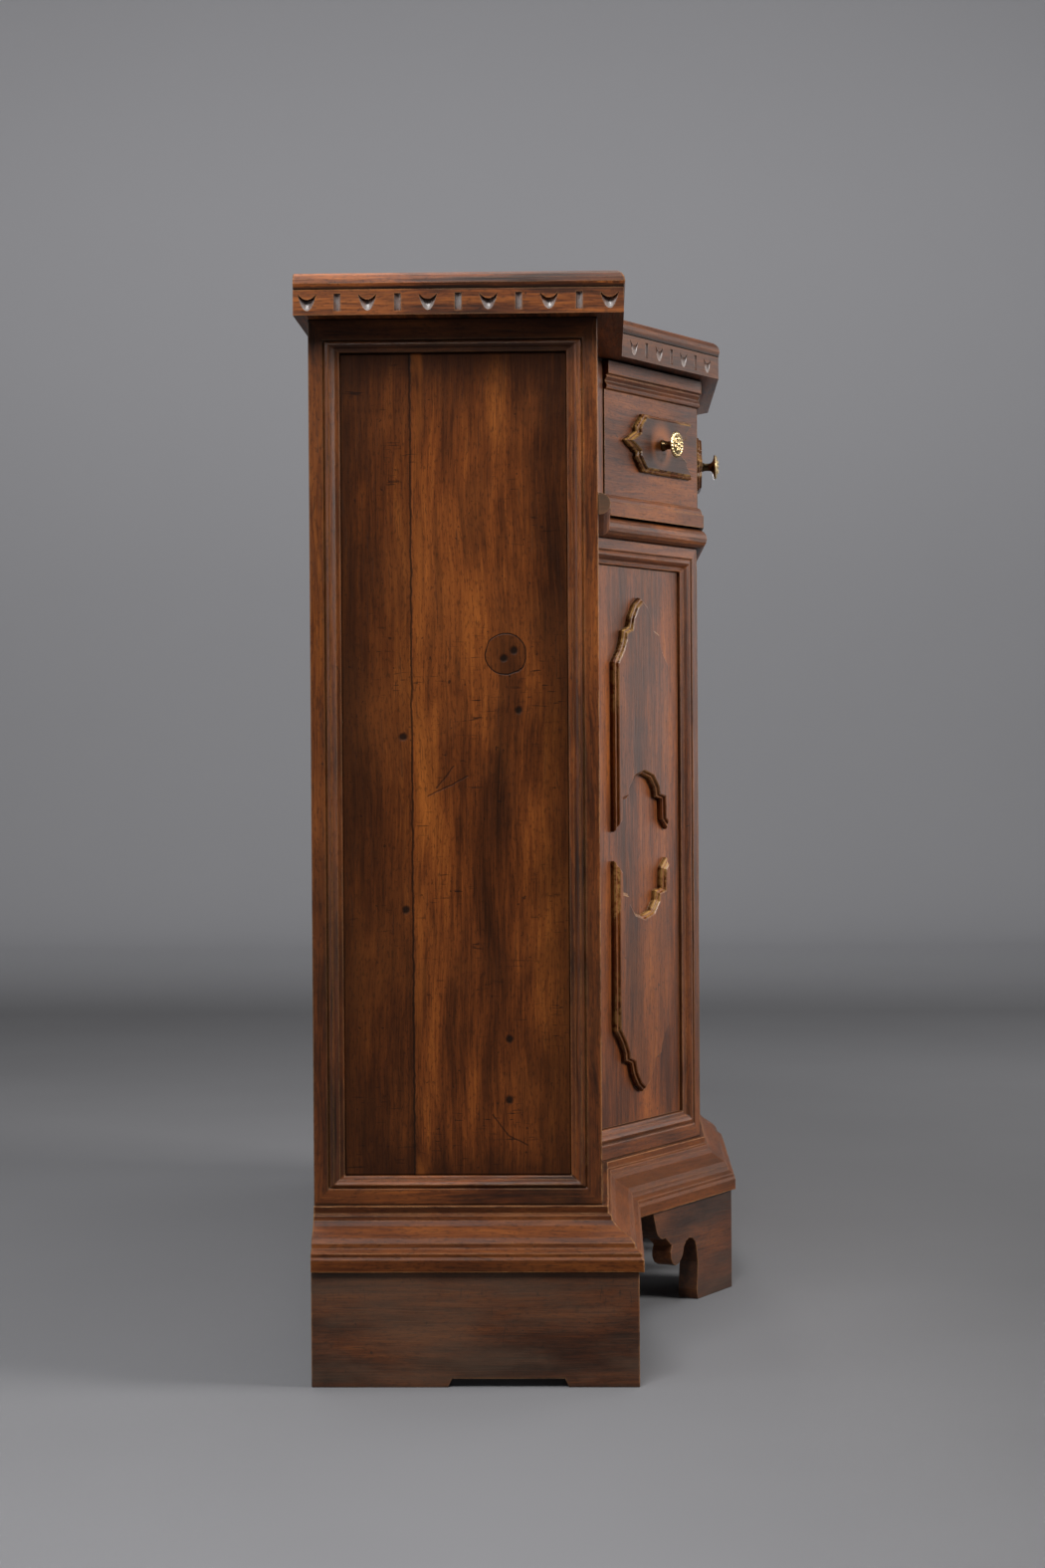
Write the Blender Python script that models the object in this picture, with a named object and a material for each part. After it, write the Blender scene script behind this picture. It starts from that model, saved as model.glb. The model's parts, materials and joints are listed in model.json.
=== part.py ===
"""Walnut buffet cabinet with set-back wings, canted corners, drawers and doors.

Metres, +Z up, front towards -Y, +X to the right seen from the front.
The origin is the middle of the footprint, on the floor.
"""
import math

import bmesh
import bpy
from mathutils import Matrix, Vector

# Overall plan, measured on the carcass before any moulding
WING_WIDTH = 0.302        # side face to the inner corner with the cant
CANT_WIDTH = 0.208        # cant, measured across the cabinet
CENTRE_WIDTH = 0.326      # front between the two cants
SIDE_DEPTH = 0.288        # back to the front of a wing
CANT_DEPTH = 0.114        # how far the centre stands in front of a wing
WING_RECESS = 0.016       # wing doors and friezes behind the wing's front plane

# Heights, stacked from the floor up
PLINTH_HEIGHT = 0.114
BASE_HEIGHT = 0.0604
CUPBOARD_HEIGHT = 0.6866  # base moulding to the underside of the rounded rail
DECK_THICKNESS = 0.022
DRAWER_OPENING = 0.1744   # rounded rail to the cornice
CORNICE_THICKNESS = 0.0251
TOP_THICKNESS = 0.0175
SHELF_RISE = 0.3456       # shelf above the cupboard's floor
KNOB_RISE = 0.0885        # knobs above the rounded rail's top

# How far the mouldings stand out from the carcass
TOP_PROJECTION = 0.028
TOP_FLAT = 0.006          # upright part of the top's edge, below its round
TOP_UNDERCUT = 0.0015
TOP_BACK_OVERHANG = 0.012
CORNICE_PROJECTION = 0.0265
BASE_PROJECTION = 0.041
BASE_FILLET = 0.0125      # upright fillet at the foot of the base moulding
BASE_STEP = 0.0080        # small round above it
BASE_CAP = 0.0079         # fillet at its head
BASE_CAP_PROJECTION = 0.006
BASE_CYMA_SWELL = 0.0035
FOOT_PROJECTION = 0.036

# Feet
LEG_WIDTH = 0.088
SCROLL_LENGTH = 0.1075    # scrolled part of a bracket, beside its leg
SHOULDER_PLACE = 0.0815   # middle of the shoulder's hollow, from the leg
SCROLL_WEB = 0.0015       # timber between the arch and what is beside it
FOOT_GAP = 0.008          # between the two brackets of the centre
ARCH_RADIUS = 0.0170
ARCH_HEIGHT = 0.0560
LOBE_RADIUS = 0.0145
LOBE_HEIGHT = 0.0610
SHOULDER_RADIUS = 0.0205
SHOULDER_HEIGHT = 0.1010
NOTCH_RISE = 0.0085       # worn notch under the side plinth
NOTCH_START = 0.135
NOTCH_LENGTH = 0.119
NOTCH_SLOPE = 0.004

# Timber thicknesses
SIDE_THICKNESS = 0.022
FRAME_THICKNESS = 0.020
PANEL_THICKNESS = 0.010
BACK_THICKNESS = 0.012
BOTTOM_THICKNESS = 0.024
FOOT_THICKNESS = 0.024
DIVIDER_THICKNESS = 0.014
SHELF_THICKNESS = 0.018
DRAWER_FRONT_THICKNESS = 0.020
DRAWER_WALL = 0.010
DRAWER_BOTTOM = 0.008
WING_RAIL_DEPTH = 0.070   # rounded rail across a wing, front to back

# Frame-and-panel sizes
SIDE_STILE = 0.0145
SIDE_TOP_RAIL = 0.0206
SIDE_BOTTOM_RAIL = 0.0160
SIDE_MOULDING = 0.0168
SIDE_RAIL_MOULDING = 0.0125
DOOR_STILE = 0.0125
DOOR_MOULDING = 0.0220
DOOR_RAIL_MOULDING = 0.0165
DOOR_BOTTOM_RAIL = 0.0165
DOOR_TOP_RAIL = 0.0125
PANEL_SINK = 0.008        # field of a panel behind its frame

# Raised plates
PLATE_HEIGHT = 0.0095
PLATE_EDGE = 0.0062       # width of the stepped edge
PLATE_SEAT = 0.0015
PLATE_MARGIN = 0.0375     # panel plate to the field's edge
PLATE_END_MARGIN = 0.033
PLATE_GAP = 0.032         # between the two plates of a panel
PLATE_POINT = 0.0734      # stepped point of a panel plate
PLATE_ARCH = 0.064        # arched notch at its other end
PLATE_LEG = 0.0145        # width of the plate on each side of the notch
DRAWER_PLATE_HEIGHT = 0.065
DRAWER_PLATE_LENGTH = 0.163
DRAWER_PLATE_POINT = 0.043

# Drawers: the front's section stands out from the carcass by these
DRAWER_FIELD = 0.0015
DRAWER_FOOT = 0.0085
DRAWER_FOOT_HEIGHT = 0.0150
DRAWER_QUIRK = 0.0018     # step in above the foot's fillet
DRAWER_OVOLO = 0.0085
DRAWER_HEAD = 0.0070
DRAWER_BAND = 0.0315      # height of the grooved band at the head
DRAWER_TOP_GAP = 0.002
DRAWER_BOTTOM_GAP = 0.0018
DRAWER_SIDE_GAP = 0.0012
BOX_TOP_GAP = 0.020
BOX_NEAR_INSET = 0.012    # cant drawer's tray, from the ends of its front
BOX_FAR_INSET = 0.028
CENTRE_BOX_DEPTH = 0.320
CANT_BOX_BACK = 0.150     # cant drawer's back wall, from the cabinet's back
CANT_PLATE_PLACE = 0.133  # middle of the cant's plate, from the inner corner
CORNER_POST = 0.0125
KNOB_DISC_RADIUS = 0.0150
KNOB_LENGTH = 0.0220
KNOB_STEM = 0.0045

# Doors
PIN_RADIUS = 0.0025
PIN_LENGTH = 0.018
PIN_CLEARANCE = 0.0004
PIN_FROM_EDGE = 0.0090
PIN_FROM_FACE = 0.0050
HINGE_GAP = 0.0020
DOOR_GAP = 0.0015
SHELF_SETBACK = 0.040     # shelf edge behind the doors
ESCUTCHEON_WIDTH = 0.0095
ESCUTCHEON_HEIGHT = 0.0260
ESCUTCHEON_THICKNESS = 0.0014
KEYHOLE_RADIUS = 0.0018
KEYHOLE_LENGTH = 0.0085

# Carving and fits
CARVING_PITCH = 0.0597    # from one upright groove of the cornice to the next
GROOVE_WIDTH = 0.0062
GROOVE_HEIGHT = 0.0150
GROOVE_DEPTH = 0.0030
NOSING_FLAT = 0.001       # straight part of the deck's rounded nose
FIT = 0.0003              # gap between pieces that touch
ROUND_SIDES = 18          # sides of turned pieces

# Values worked out from the sizes above
CARCASS_BOTTOM = PLINTH_HEIGHT + BASE_HEIGHT
DECK_BOTTOM = CARCASS_BOTTOM + CUPBOARD_HEIGHT
DECK_TOP = DECK_BOTTOM + DECK_THICKNESS
CORNICE_BOTTOM = DECK_TOP + DRAWER_OPENING
CORNICE_TOP = CORNICE_BOTTOM + CORNICE_THICKNESS
TOTAL_HEIGHT = CORNICE_TOP + TOP_THICKNESS
KNOB_HEIGHT = DECK_TOP + KNOB_RISE
SHELF_HEIGHT = CARCASS_BOTTOM + SHELF_RISE
DOOR_BOTTOM = CARCASS_BOTTOM + DOOR_GAP
DOOR_HEIGHT = CUPBOARD_HEIGHT - 2 * DOOR_GAP
DOOR_RAILS = (DOOR_BOTTOM_RAIL, DOOR_TOP_RAIL)
FRONT_BOTTOM = DECK_TOP + DRAWER_BOTTOM_GAP
FRONT_TOP = CORNICE_BOTTOM - DRAWER_TOP_GAP
BODY_WIDTH = 2 * (WING_WIDTH + CANT_WIDTH) + CENTRE_WIDTH
HALF = BODY_WIDTH / 2
TOTAL_DEPTH = SIDE_DEPTH + CANT_DEPTH + BASE_PROJECTION + TOP_BACK_OVERHANG
BACK_Y = TOTAL_DEPTH / 2 - TOP_BACK_OVERHANG
WING_Y = BACK_Y - SIDE_DEPTH
CENTRE_Y = WING_Y - CANT_DEPTH
CANT_ANGLE = math.atan2(CANT_DEPTH, CANT_WIDTH)
CANT_ALONG = Vector((math.cos(CANT_ANGLE), -math.sin(CANT_ANGLE), 0))
CANT_OUT = Vector((-math.sin(CANT_ANGLE), -math.cos(CANT_ANGLE), 0))
CANT_LENGTH = math.hypot(CANT_WIDTH, CANT_DEPTH)
INNER_CORNER = Vector((-HALF + WING_WIDTH, WING_Y, 0))
OUTER_CORNER = Vector((-CENTRE_WIDTH / 2, CENTRE_Y, 0))
MITRE = math.tan(CANT_ANGLE / 2)
UP = Vector((0, 0, 1))
FORWARD = Vector((0, -1, 0))
RIGHT = Vector((1, 0, 0))
FLIP = Vector((-1, 1, 1))

for old in list(bpy.data.objects):
    bpy.data.objects.remove(old, do_unlink=True)
PARTS = bpy.data.collections.new("buffet_cabinet")
CUTTERS = bpy.data.collections.new("cutters")
bpy.context.scene.collection.children.link(PARTS)
bpy.context.scene.collection.children.link(CUTTERS)


def material(name, colour, roughness, metallic=0.0):
    mat = bpy.data.materials.new(name)
    mat.use_nodes = True
    shader = mat.node_tree.nodes["Principled BSDF"]
    shader.inputs["Base Color"].default_value = (*colour, 1)
    shader.inputs["Roughness"].default_value = roughness
    shader.inputs["Metallic"].default_value = metallic
    return mat


WALNUT = material("walnut", (0.105, 0.040, 0.018), 0.38)
DARK_WALNUT = material("dark_walnut", (0.045, 0.022, 0.012), 0.50)
INNER_WOOD = material("inner_wood", (0.230, 0.130, 0.060), 0.65)
BRASS = material("brass", (0.560, 0.400, 0.160), 0.35, 1.0)
IRON = material("iron", (0.080, 0.075, 0.070), 0.50, 1.0)


def add_mesh(name, mesh_data, mat, collection=PARTS):
    """Turn a bmesh into a named object."""
    bmesh.ops.recalc_face_normals(mesh_data, faces=mesh_data.faces)
    mesh = bpy.data.meshes.new(name)
    mesh_data.to_mesh(mesh)
    mesh_data.free()
    obj = bpy.data.objects.new(name, mesh)
    mesh.materials.append(mat)
    collection.objects.link(obj)
    if collection is CUTTERS:
        obj.hide_render = True
        obj.display_type = "WIRE"
    return obj


def loft(name, loops, mat, closed=False, collection=PARTS):
    """Skin a row of equal closed loops; the ends are capped unless the row closes on itself."""
    mesh_data = bmesh.new()
    rows = [[mesh_data.verts.new(point) for point in loop] for loop in loops]
    count = len(rows[0])
    pairs = list(zip(rows, rows[1:]))
    if closed:
        pairs.append((rows[-1], rows[0]))
    for first, second in pairs:
        for k in range(count):
            after = (k + 1) % count
            mesh_data.faces.new((first[k], first[after], second[after], second[k]))
    if not closed:
        mesh_data.faces.new(rows[0])
        mesh_data.faces.new(rows[-1])
    return add_mesh(name, mesh_data, mat, collection)


def box(name, low, high, mat, collection=PARTS):
    """Board between two opposite corners."""
    mesh_data = bmesh.new()
    bmesh.ops.create_cube(mesh_data, size=1.0)
    low, high = Vector(low), Vector(high)
    bmesh.ops.scale(mesh_data, vec=high - low, verts=mesh_data.verts)
    bmesh.ops.translate(mesh_data, vec=(low + high) / 2, verts=mesh_data.verts)
    return add_mesh(name, mesh_data, mat, collection)


def board(name, outline, bottom, top, mat, collection=PARTS):
    """Flat board with a plan outline."""
    loops = [[Vector((p.x, p.y, z)) for p in outline] for z in (bottom, top)]
    return loft(name, loops, mat, collection=collection)


def turned(name, seat, axis, profile, mat, collection=PARTS):
    """Round piece: its profile's (radius, height) pairs stand on seat along axis."""
    turn = UP.rotation_difference(axis).to_matrix()
    angles = [2 * math.pi * k / ROUND_SIDES for k in range(ROUND_SIDES)]
    loops = [[seat + turn @ Vector((radius * math.cos(a), radius * math.sin(a), z)) for a in angles]
             for radius, z in profile]
    return loft(name, loops, mat, collection=collection)


def rod(name, centre, axis, radius, length, mat, collection=PARTS):
    return turned(name, centre, axis, [(radius, -length / 2), (radius, length / 2)], mat, collection)


def combine(target, tools, operation):
    """Apply a union or a difference, then drop the tools."""
    for tool in tools:
        cut = target.modifiers.new("combine", "BOOLEAN")
        cut.operation = operation
        cut.solver = "EXACT"
        cut.object = tool
    bpy.context.view_layer.update()
    graph = bpy.context.evaluated_depsgraph_get()
    mesh = bpy.data.meshes.new_from_object(target.evaluated_get(graph))
    target.modifiers.clear()
    target.data = mesh
    for tool in tools:
        bpy.data.objects.remove(tool, do_unlink=True)
    return target


def mirrored(obj, name):
    """The right-hand twin of a left-hand piece."""
    mesh = obj.data.copy()
    mesh.transform(Matrix.Scale(-1, 4, RIGHT))
    mesh.flip_normals()
    twin = bpy.data.objects.new(name, mesh)
    PARTS.objects.link(twin)
    return twin


def pair(obj):
    """Mirror a piece whose name ends in _left."""
    return obj, mirrored(obj, obj.name.replace("_left", "_right"))


def face_matrix(origin, along, out):
    """Places (along, up, out) coordinates of one face in the room."""
    return Matrix.Translation(origin) @ Matrix((along, UP, out)).transposed().to_4x4()


# Plan outlines
def cant_point(distance, projection=0.0):
    return INNER_CORNER + CANT_ALONG * distance + CANT_OUT * projection


def inner_corner(projection):
    return cant_point(projection * MITRE, projection)


def outer_corner(projection):
    return cant_point(CANT_LENGTH + projection * MITRE, projection)


def mirror_row(points):
    return points + [Vector((-p.x, p.y, p.z)) for p in reversed(points)]


def around(projection, back_y):
    """The whole plan: both sides and the front, with a straight back."""
    side = -HALF - projection
    return mirror_row([Vector((side, back_y, 0)), Vector((side, WING_Y - projection, 0)),
                       inner_corner(projection), outer_corner(projection)])


def swept(rows, heights):
    """Loops of a moulding: one row of plan points for each point of its section."""
    return [[Vector((row[k].x, row[k].y, z)) for row, z in zip(rows, heights)]
            for k in range(len(rows[0]))]


def arc(centre, radius, start, end, steps):
    """Points on a round stretch, angles in degrees."""
    turn = [math.radians(start + (end - start) * k / steps) for k in range(steps + 1)]
    return [(centre[0] + radius * math.cos(a), centre[1] + radius * math.sin(a)) for a in turn]


# Top and cornice
def make_top():
    round_edge = TOP_THICKNESS - TOP_FLAT
    steps = arc((TOP_PROJECTION - round_edge, TOTAL_HEIGHT - round_edge), round_edge, 0, 90, 4)
    section = [(TOP_PROJECTION - TOP_UNDERCUT, CORNICE_TOP + FIT)] + steps
    loops = [[Vector((p.x, p.y, z)) for p in around(out, BACK_Y + TOP_BACK_OVERHANG)] for out, z in section]
    loft("top_board", loops, WALNUT)


def cornice_runs():
    """Show edges of the cornice: start, end and outward direction of each."""
    back = Vector((-HALF - CORNICE_PROJECTION, BACK_Y + TOP_BACK_OVERHANG, 0))
    side_front = Vector((-HALF - CORNICE_PROJECTION, WING_Y - CORNICE_PROJECTION, 0))
    inner = inner_corner(CORNICE_PROJECTION)
    outer = outer_corner(CORNICE_PROJECTION)
    runs = [(back, side_front, -RIGHT), (side_front, inner, FORWARD), (inner, outer, CANT_OUT)]
    runs += [(start * FLIP, end * FLIP, out * FLIP) for start, end, out in runs]
    return runs + [(outer, outer * FLIP, FORWARD)]


def groove_cutters():
    """Upright grooves at an even pitch along every show edge."""
    level = UP * (CORNICE_BOTTOM + CORNICE_TOP) / 2
    size = Vector((GROOVE_WIDTH / 2, GROOVE_HEIGHT / 2, GROOVE_DEPTH))
    cutters = []
    for start, end, out in cornice_runs():
        length = (end - start).length
        along = UP.cross(out)
        count = int(length / CARVING_PITCH)
        for k in range(count):
            spot = (start + end) / 2 + along * (k - (count - 1) / 2) * CARVING_PITCH
            cutter = box("groove", -size, size, WALNUT, CUTTERS)
            cutter.data.transform(face_matrix(spot + level, along, out))
            cutters.append(cutter)
    return cutters


def make_cornice():
    outline = around(CORNICE_PROJECTION, BACK_Y + TOP_BACK_OVERHANG)
    cornice = board("cornice_board", outline, CORNICE_BOTTOM, CORNICE_TOP, WALNUT)
    combine(cornice, groove_cutters(), "DIFFERENCE")


# Base moulding, feet and carcass boards
def base_section():
    """Fillet and small round at the foot, a cyma, and a fillet at the head."""
    small = BASE_STEP / 4
    fillet_top = PLINTH_HEIGHT + BASE_FILLET
    step_top = fillet_top + BASE_STEP
    section = [(0.0, PLINTH_HEIGHT), (BASE_PROJECTION, PLINTH_HEIGHT), (BASE_PROJECTION, fillet_top),
               (BASE_PROJECTION - small, fillet_top + small), (BASE_PROJECTION - small, step_top - small),
               (BASE_PROJECTION - 2.5 * small, step_top)]
    foot = Vector((BASE_PROJECTION - 4 * small, step_top + small))
    head = Vector((BASE_CAP_PROJECTION + 1.5 * small, CARCASS_BOTTOM - BASE_CAP - small / 2))
    for k in range(7):
        point = foot.lerp(head, k / 6)
        section.append((point.x + BASE_CYMA_SWELL * math.sin(2 * math.pi * k / 6), point.y))
    section += [(BASE_CAP_PROJECTION, CARCASS_BOTTOM - BASE_CAP), (BASE_CAP_PROJECTION, CARCASS_BOTTOM)]
    return section + [(0.0, CARCASS_BOTTOM)]


def make_base():
    section = base_section()
    rows = [around(out, BACK_Y) for out, z in section]
    loft("base_moulding", swept(rows, [z for out, z in section]), WALNUT)


def scroll_outline(leg):
    """Bracket foot seen square-on: an arch beside the leg, a hanging lobe and a shoulder."""
    top = PLINTH_HEIGHT - FIT
    arch = leg + ARCH_RADIUS + SCROLL_WEB
    lobe = arch + ARCH_RADIUS + LOBE_RADIUS + SCROLL_WEB
    points = [(0.0, 0.0), (leg, 0.0)]
    points += [(leg + SCROLL_WEB, ARCH_HEIGHT * 0.2), (leg - SCROLL_WEB, ARCH_HEIGHT * 0.75)]
    points += arc((arch, ARCH_HEIGHT), ARCH_RADIUS, 195, 5, 7)[1:]
    points += arc((lobe, LOBE_HEIGHT), LOBE_RADIUS, 220, 400, 6)
    points += arc((leg + SHOULDER_PLACE, SHOULDER_HEIGHT), SHOULDER_RADIUS, 260, 330, 4)
    return points + [(leg + SCROLL_LENGTH, top), (0.0, top)]


def bracket(name, corner, along, out, leg, collection=PARTS):
    """One foot board: corner is its outer bottom corner, along runs from the leg to the scroll."""
    outline = scroll_outline(leg)
    loops = [[corner + along * u + UP * v - out * depth for u, v in outline]
             for depth in (0.0, FOOT_THICKNESS)]
    return loft(name, loops, DARK_WALNUT, collection=collection)


def make_feet():
    corner = outer_corner(FOOT_PROJECTION)
    foot = bracket("front_foot_left", corner, -CANT_ALONG, CANT_OUT, LEG_WIDTH)
    centre_leg = -corner.x - SCROLL_LENGTH - FOOT_GAP / 2
    front = bracket("centre_bracket", corner, RIGHT, FORWARD, centre_leg, CUTTERS)
    pair(combine(foot, [front], "UNION"))

    corner = Vector((-HALF - FOOT_PROJECTION, WING_Y - FOOT_PROJECTION, 0))
    length = SIDE_DEPTH + FOOT_PROJECTION
    top = PLINTH_HEIGHT - FIT
    notch_end = NOTCH_START + NOTCH_LENGTH
    outline = [(0.0, 0.0), (NOTCH_START, 0.0), (NOTCH_START + NOTCH_SLOPE, NOTCH_RISE),
               (notch_end - NOTCH_SLOPE, NOTCH_RISE), (notch_end, 0.0),
               (length, 0.0), (length, top), (0.0, top)]
    loops = [[Vector((corner.x + inset, BACK_Y - u, v)) for u, v in outline]
             for inset in (0.0, FOOT_THICKNESS)]
    plinth = loft("side_plinth_left", loops, DARK_WALNUT)
    wing = bracket("wing_bracket", corner, RIGHT, FORWARD, LEG_WIDTH, CUTTERS)
    pair(combine(plinth, [wing], "UNION"))


def make_deck(inside, back):
    """Board under the drawers; across the wings it is a rail, so their cupboards run up to the cornice."""
    radius = DECK_THICKNESS / 2
    stop = INNER_CORNER.x - DIVIDER_THICKNESS
    rail_back = WING_Y + WING_RAIL_DEPTH
    loops = []
    for out, rise in arc((0.0, 0.0), radius, -90, 90, 8):
        nose = FIT + NOSING_FLAT + out
        edge = [Vector((stop, back, 0)), Vector((stop, rail_back, 0)), Vector((inside, rail_back, 0)),
                Vector((inside, WING_Y - FIT, 0)), Vector((-HALF, WING_Y - FIT, 0)),
                Vector((-HALF, WING_Y - nose, 0)), inner_corner(nose), outer_corner(nose)]
        level = DECK_BOTTOM + radius + rise
        loops.append([Vector((p.x, p.y, level)) for p in mirror_row(edge)])
    loft("drawer_deck", loops, WALNUT)


def make_carcass():
    board("bottom_board", around(-FIT, BACK_Y), CARCASS_BOTTOM - BOTTOM_THICKNESS, CARCASS_BOTTOM, INNER_WOOD)
    inside = -HALF + SIDE_THICKNESS + FIT
    back = BACK_Y - BACK_THICKNESS - FIT
    box("back_panel", (inside, BACK_Y - BACK_THICKNESS, CARCASS_BOTTOM + FIT),
        (-inside, BACK_Y, CORNICE_BOTTOM - FIT), INNER_WOOD)
    make_deck(inside, back)
    shelf_front = WING_Y + WING_RECESS + FRAME_THICKNESS + SHELF_SETBACK
    shelf_top = SHELF_HEIGHT + SHELF_THICKNESS
    box("shelf", (inside, shelf_front, SHELF_HEIGHT), (-inside, back, shelf_top), INNER_WOOD)
    bottom, top = DECK_TOP + FIT, CORNICE_BOTTOM - FIT
    wing_x = INNER_CORNER.x
    post = CORNER_POST - DRAWER_SIDE_GAP
    plan = [Vector((wing_x - DIVIDER_THICKNESS, back, 0)), Vector((wing_x - DIVIDER_THICKNESS, WING_Y, 0)),
            INNER_CORNER, cant_point(post), cant_point(post, -DRAWER_FRONT_THICKNESS),
            Vector((wing_x, WING_Y + DRAWER_FRONT_THICKNESS, 0)), Vector((wing_x, back, 0))]
    pair(board("wing_divider_left", plan, bottom, top, WALNUT))
    cant_x = outer_corner(-DRAWER_FRONT_THICKNESS).x
    front = CENTRE_Y + DRAWER_FRONT_THICKNESS + DIVIDER_THICKNESS + FIT
    low, high = (cant_x - DIVIDER_THICKNESS, front, bottom), (cant_x, back, top)
    pair(box("cant_divider_left", low, high, INNER_WOOD))


# Frames, panels and plates
def frame(name, place, size, stile, rails, mouldings, thickness):
    """Mitred frame with a moulded inner edge, from (0, 0) to size on its face.

    The section's triples are: share of the flat member, share of the moulding's width, and
    how far out it stands, as a share of the panel's sink (-thickness at its back).
    """
    flats = (stile, rails[0], stile, rails[1])
    widths = (mouldings[0], mouldings[1], mouldings[0], mouldings[1])
    relief = [(1.0, 0.0, 0.0), (1.0, 0.06, -0.28), (1.0, 0.14, -0.06), (1.0, 0.34, 0.15), (1.0, 0.52, -0.10),
              (1.0, 0.68, -0.43), (1.0, 0.96, -0.58), (1.0, 1.0, -1.0)]
    section = [(0.0, 0.0, -thickness), (0.0, 0.0, 0.0)]
    section += [(flat, width, out * PANEL_SINK) for flat, width, out in relief]
    section += [(1.0, 1.0, -thickness)]
    loops = []
    for upright, level in ((0, 1), (2, 1), (2, 3), (0, 3)):
        loop = []
        for flat, width, out in section:
            inset = flats[upright] * flat + widths[upright] * width
            lift = flats[level] * flat + widths[level] * width
            u = inset if upright == 0 else size[0] - inset
            v = lift if level == 1 else size[1] - lift
            loop.append(place @ Vector((u, v, out)))
        loops.append(loop)
    return loft(name, loops, WALNUT, closed=True)


def inset_outline(outline, distance):
    """Moves every side of a closed outline inwards by one distance."""
    count = len(outline)
    area = sum(outline[k - 1].cross(outline[k]) for k in range(count))
    turn = 1 if area > 0 else -1
    moved = []
    for k in range(count):
        before = (outline[k] - outline[k - 1]).normalized()
        after = (outline[(k + 1) % count] - outline[k]).normalized()
        first = Vector((-before.y, before.x)) * turn
        second = Vector((-after.y, after.x)) * turn
        bisector = (first + second).normalized()
        moved.append(outline[k] + bisector * (distance / max(bisector.dot(first), 0.4)))
    return moved


def plate(place, outline):
    """Raised plate with a stepped edge, standing on a field at height 0."""
    outline = [Vector(p) for p in outline]
    section = [(0.0, 0.0), (0.0, 0.40), (0.18, 0.62), (0.42, 0.66), (0.60, 0.92), (0.80, 1.0)]
    loops = []
    for inset, rise in section:
        height = rise * PLATE_HEIGHT if rise else -PLATE_SEAT
        loops.append([place @ Vector((p.x, p.y, height)) for p in inset_outline(outline, inset * PLATE_EDGE)])
    return loft("plate", loops, WALNUT, collection=CUTTERS)


def pointed_plate(width, start, end, direction):
    """Panel plate from start to end: an arched notch, then straight sides, then a stepped point."""
    half = width / 2
    point = [(1.0, 1.0), (0.89, 0.90), (0.76, 0.77), (0.68, 0.64), (0.66, 0.52),
             (0.44, 0.46), (0.38, 0.30), (0.21, 0.11)]
    notch = [(0.43, 0.08), (0.66, 0.26), (0.70, 0.42), (0.98, 0.46), (1.0, 0.82)]
    right = [((half - PLATE_LEG) * u, start + PLATE_ARCH * (1 - v)) for u, v in notch]
    right += [(half, start)]
    right += [(half * u, end - PLATE_POINT * v) for u, v in point]
    outline = [(0.0, start + PLATE_ARCH)] + right + [(0.0, end)] + [(-u, v) for u, v in reversed(right)]
    return [(u, v * direction) for u, v in outline]


def stepped_point(height):
    """Left end of a drawer plate, from the lower corner round to the upper one."""
    upper = [(0.0, 0.0), (0.62, 0.37), (0.59, 0.52), (1.0, 1.0)]
    upper = [(u * DRAWER_PLATE_POINT, v * height / 2) for u, v in upper]
    return [(u, -v) for u, v in reversed(upper[1:])] + upper


def chevron_plate(length, height):
    """Drawer plate with a stepped point at one end and the same shape cut in at the other."""
    near = [(u - length / 2, v) for u, v in stepped_point(height)]
    return near + [(u + length - DRAWER_PLATE_POINT, v) for u, v in reversed(near)]


def lozenge_plate(length, height):
    """Drawer plate with the stepped point at both ends."""
    near = [(u - length / 2, v) for u, v in stepped_point(height)]
    return near + [(-u, v) for u, v in reversed(near)]


def panel(name, place, size):
    """Panel held in a frame's inner edge, carrying two raised plates that mirror each other."""
    inset = DOOR_STILE + DOOR_MOULDING + FIT
    low = DOOR_BOTTOM_RAIL + DOOR_RAIL_MOULDING + FIT
    high = size[1] - DOOR_TOP_RAIL - DOOR_RAIL_MOULDING - FIT
    behind = -PANEL_SINK - PANEL_THICKNESS
    field = box(name, (inset, low, behind), (size[0] - inset, high, -PANEL_SINK), WALNUT)
    field.data.transform(place)
    width = size[0] - 2 * (inset + PLATE_MARGIN)
    end = (high - low) / 2 - PLATE_END_MARGIN
    seat = place @ Matrix.Translation((size[0] / 2, (low + high) / 2, -PANEL_SINK))
    plates = [plate(seat, pointed_plate(width, PLATE_GAP / 2, end, direction)) for direction in (1, -1)]
    return combine(field, plates, "UNION")


def make_sides():
    place = face_matrix(Vector((-HALF, BACK_Y, CARCASS_BOTTOM + FIT)), FORWARD, -RIGHT)
    height = CORNICE_BOTTOM - CARCASS_BOTTOM - 2 * FIT
    rails = (SIDE_BOTTOM_RAIL, SIDE_TOP_RAIL)
    mouldings = (SIDE_MOULDING, SIDE_RAIL_MOULDING)
    pair(frame("side_frame_left", place, (SIDE_DEPTH, height), SIDE_STILE, rails, mouldings, SIDE_THICKNESS))
    inset = SIDE_STILE + SIDE_MOULDING + FIT
    low = SIDE_BOTTOM_RAIL + SIDE_RAIL_MOULDING + FIT
    high = height - SIDE_TOP_RAIL - SIDE_RAIL_MOULDING - FIT
    near, far = (inset, low, -SIDE_THICKNESS), (SIDE_DEPTH - inset, high, -PANEL_SINK)
    field = box("side_panel_left", near, far, WALNUT)
    field.data.transform(place)
    pair(field)


def cant_span():
    """Where the cant's lower frame starts, behind the wing's front plane, and how long it is."""
    start = -WING_RECESS / math.sin(CANT_ANGLE)
    return start, CANT_LENGTH - start


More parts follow.
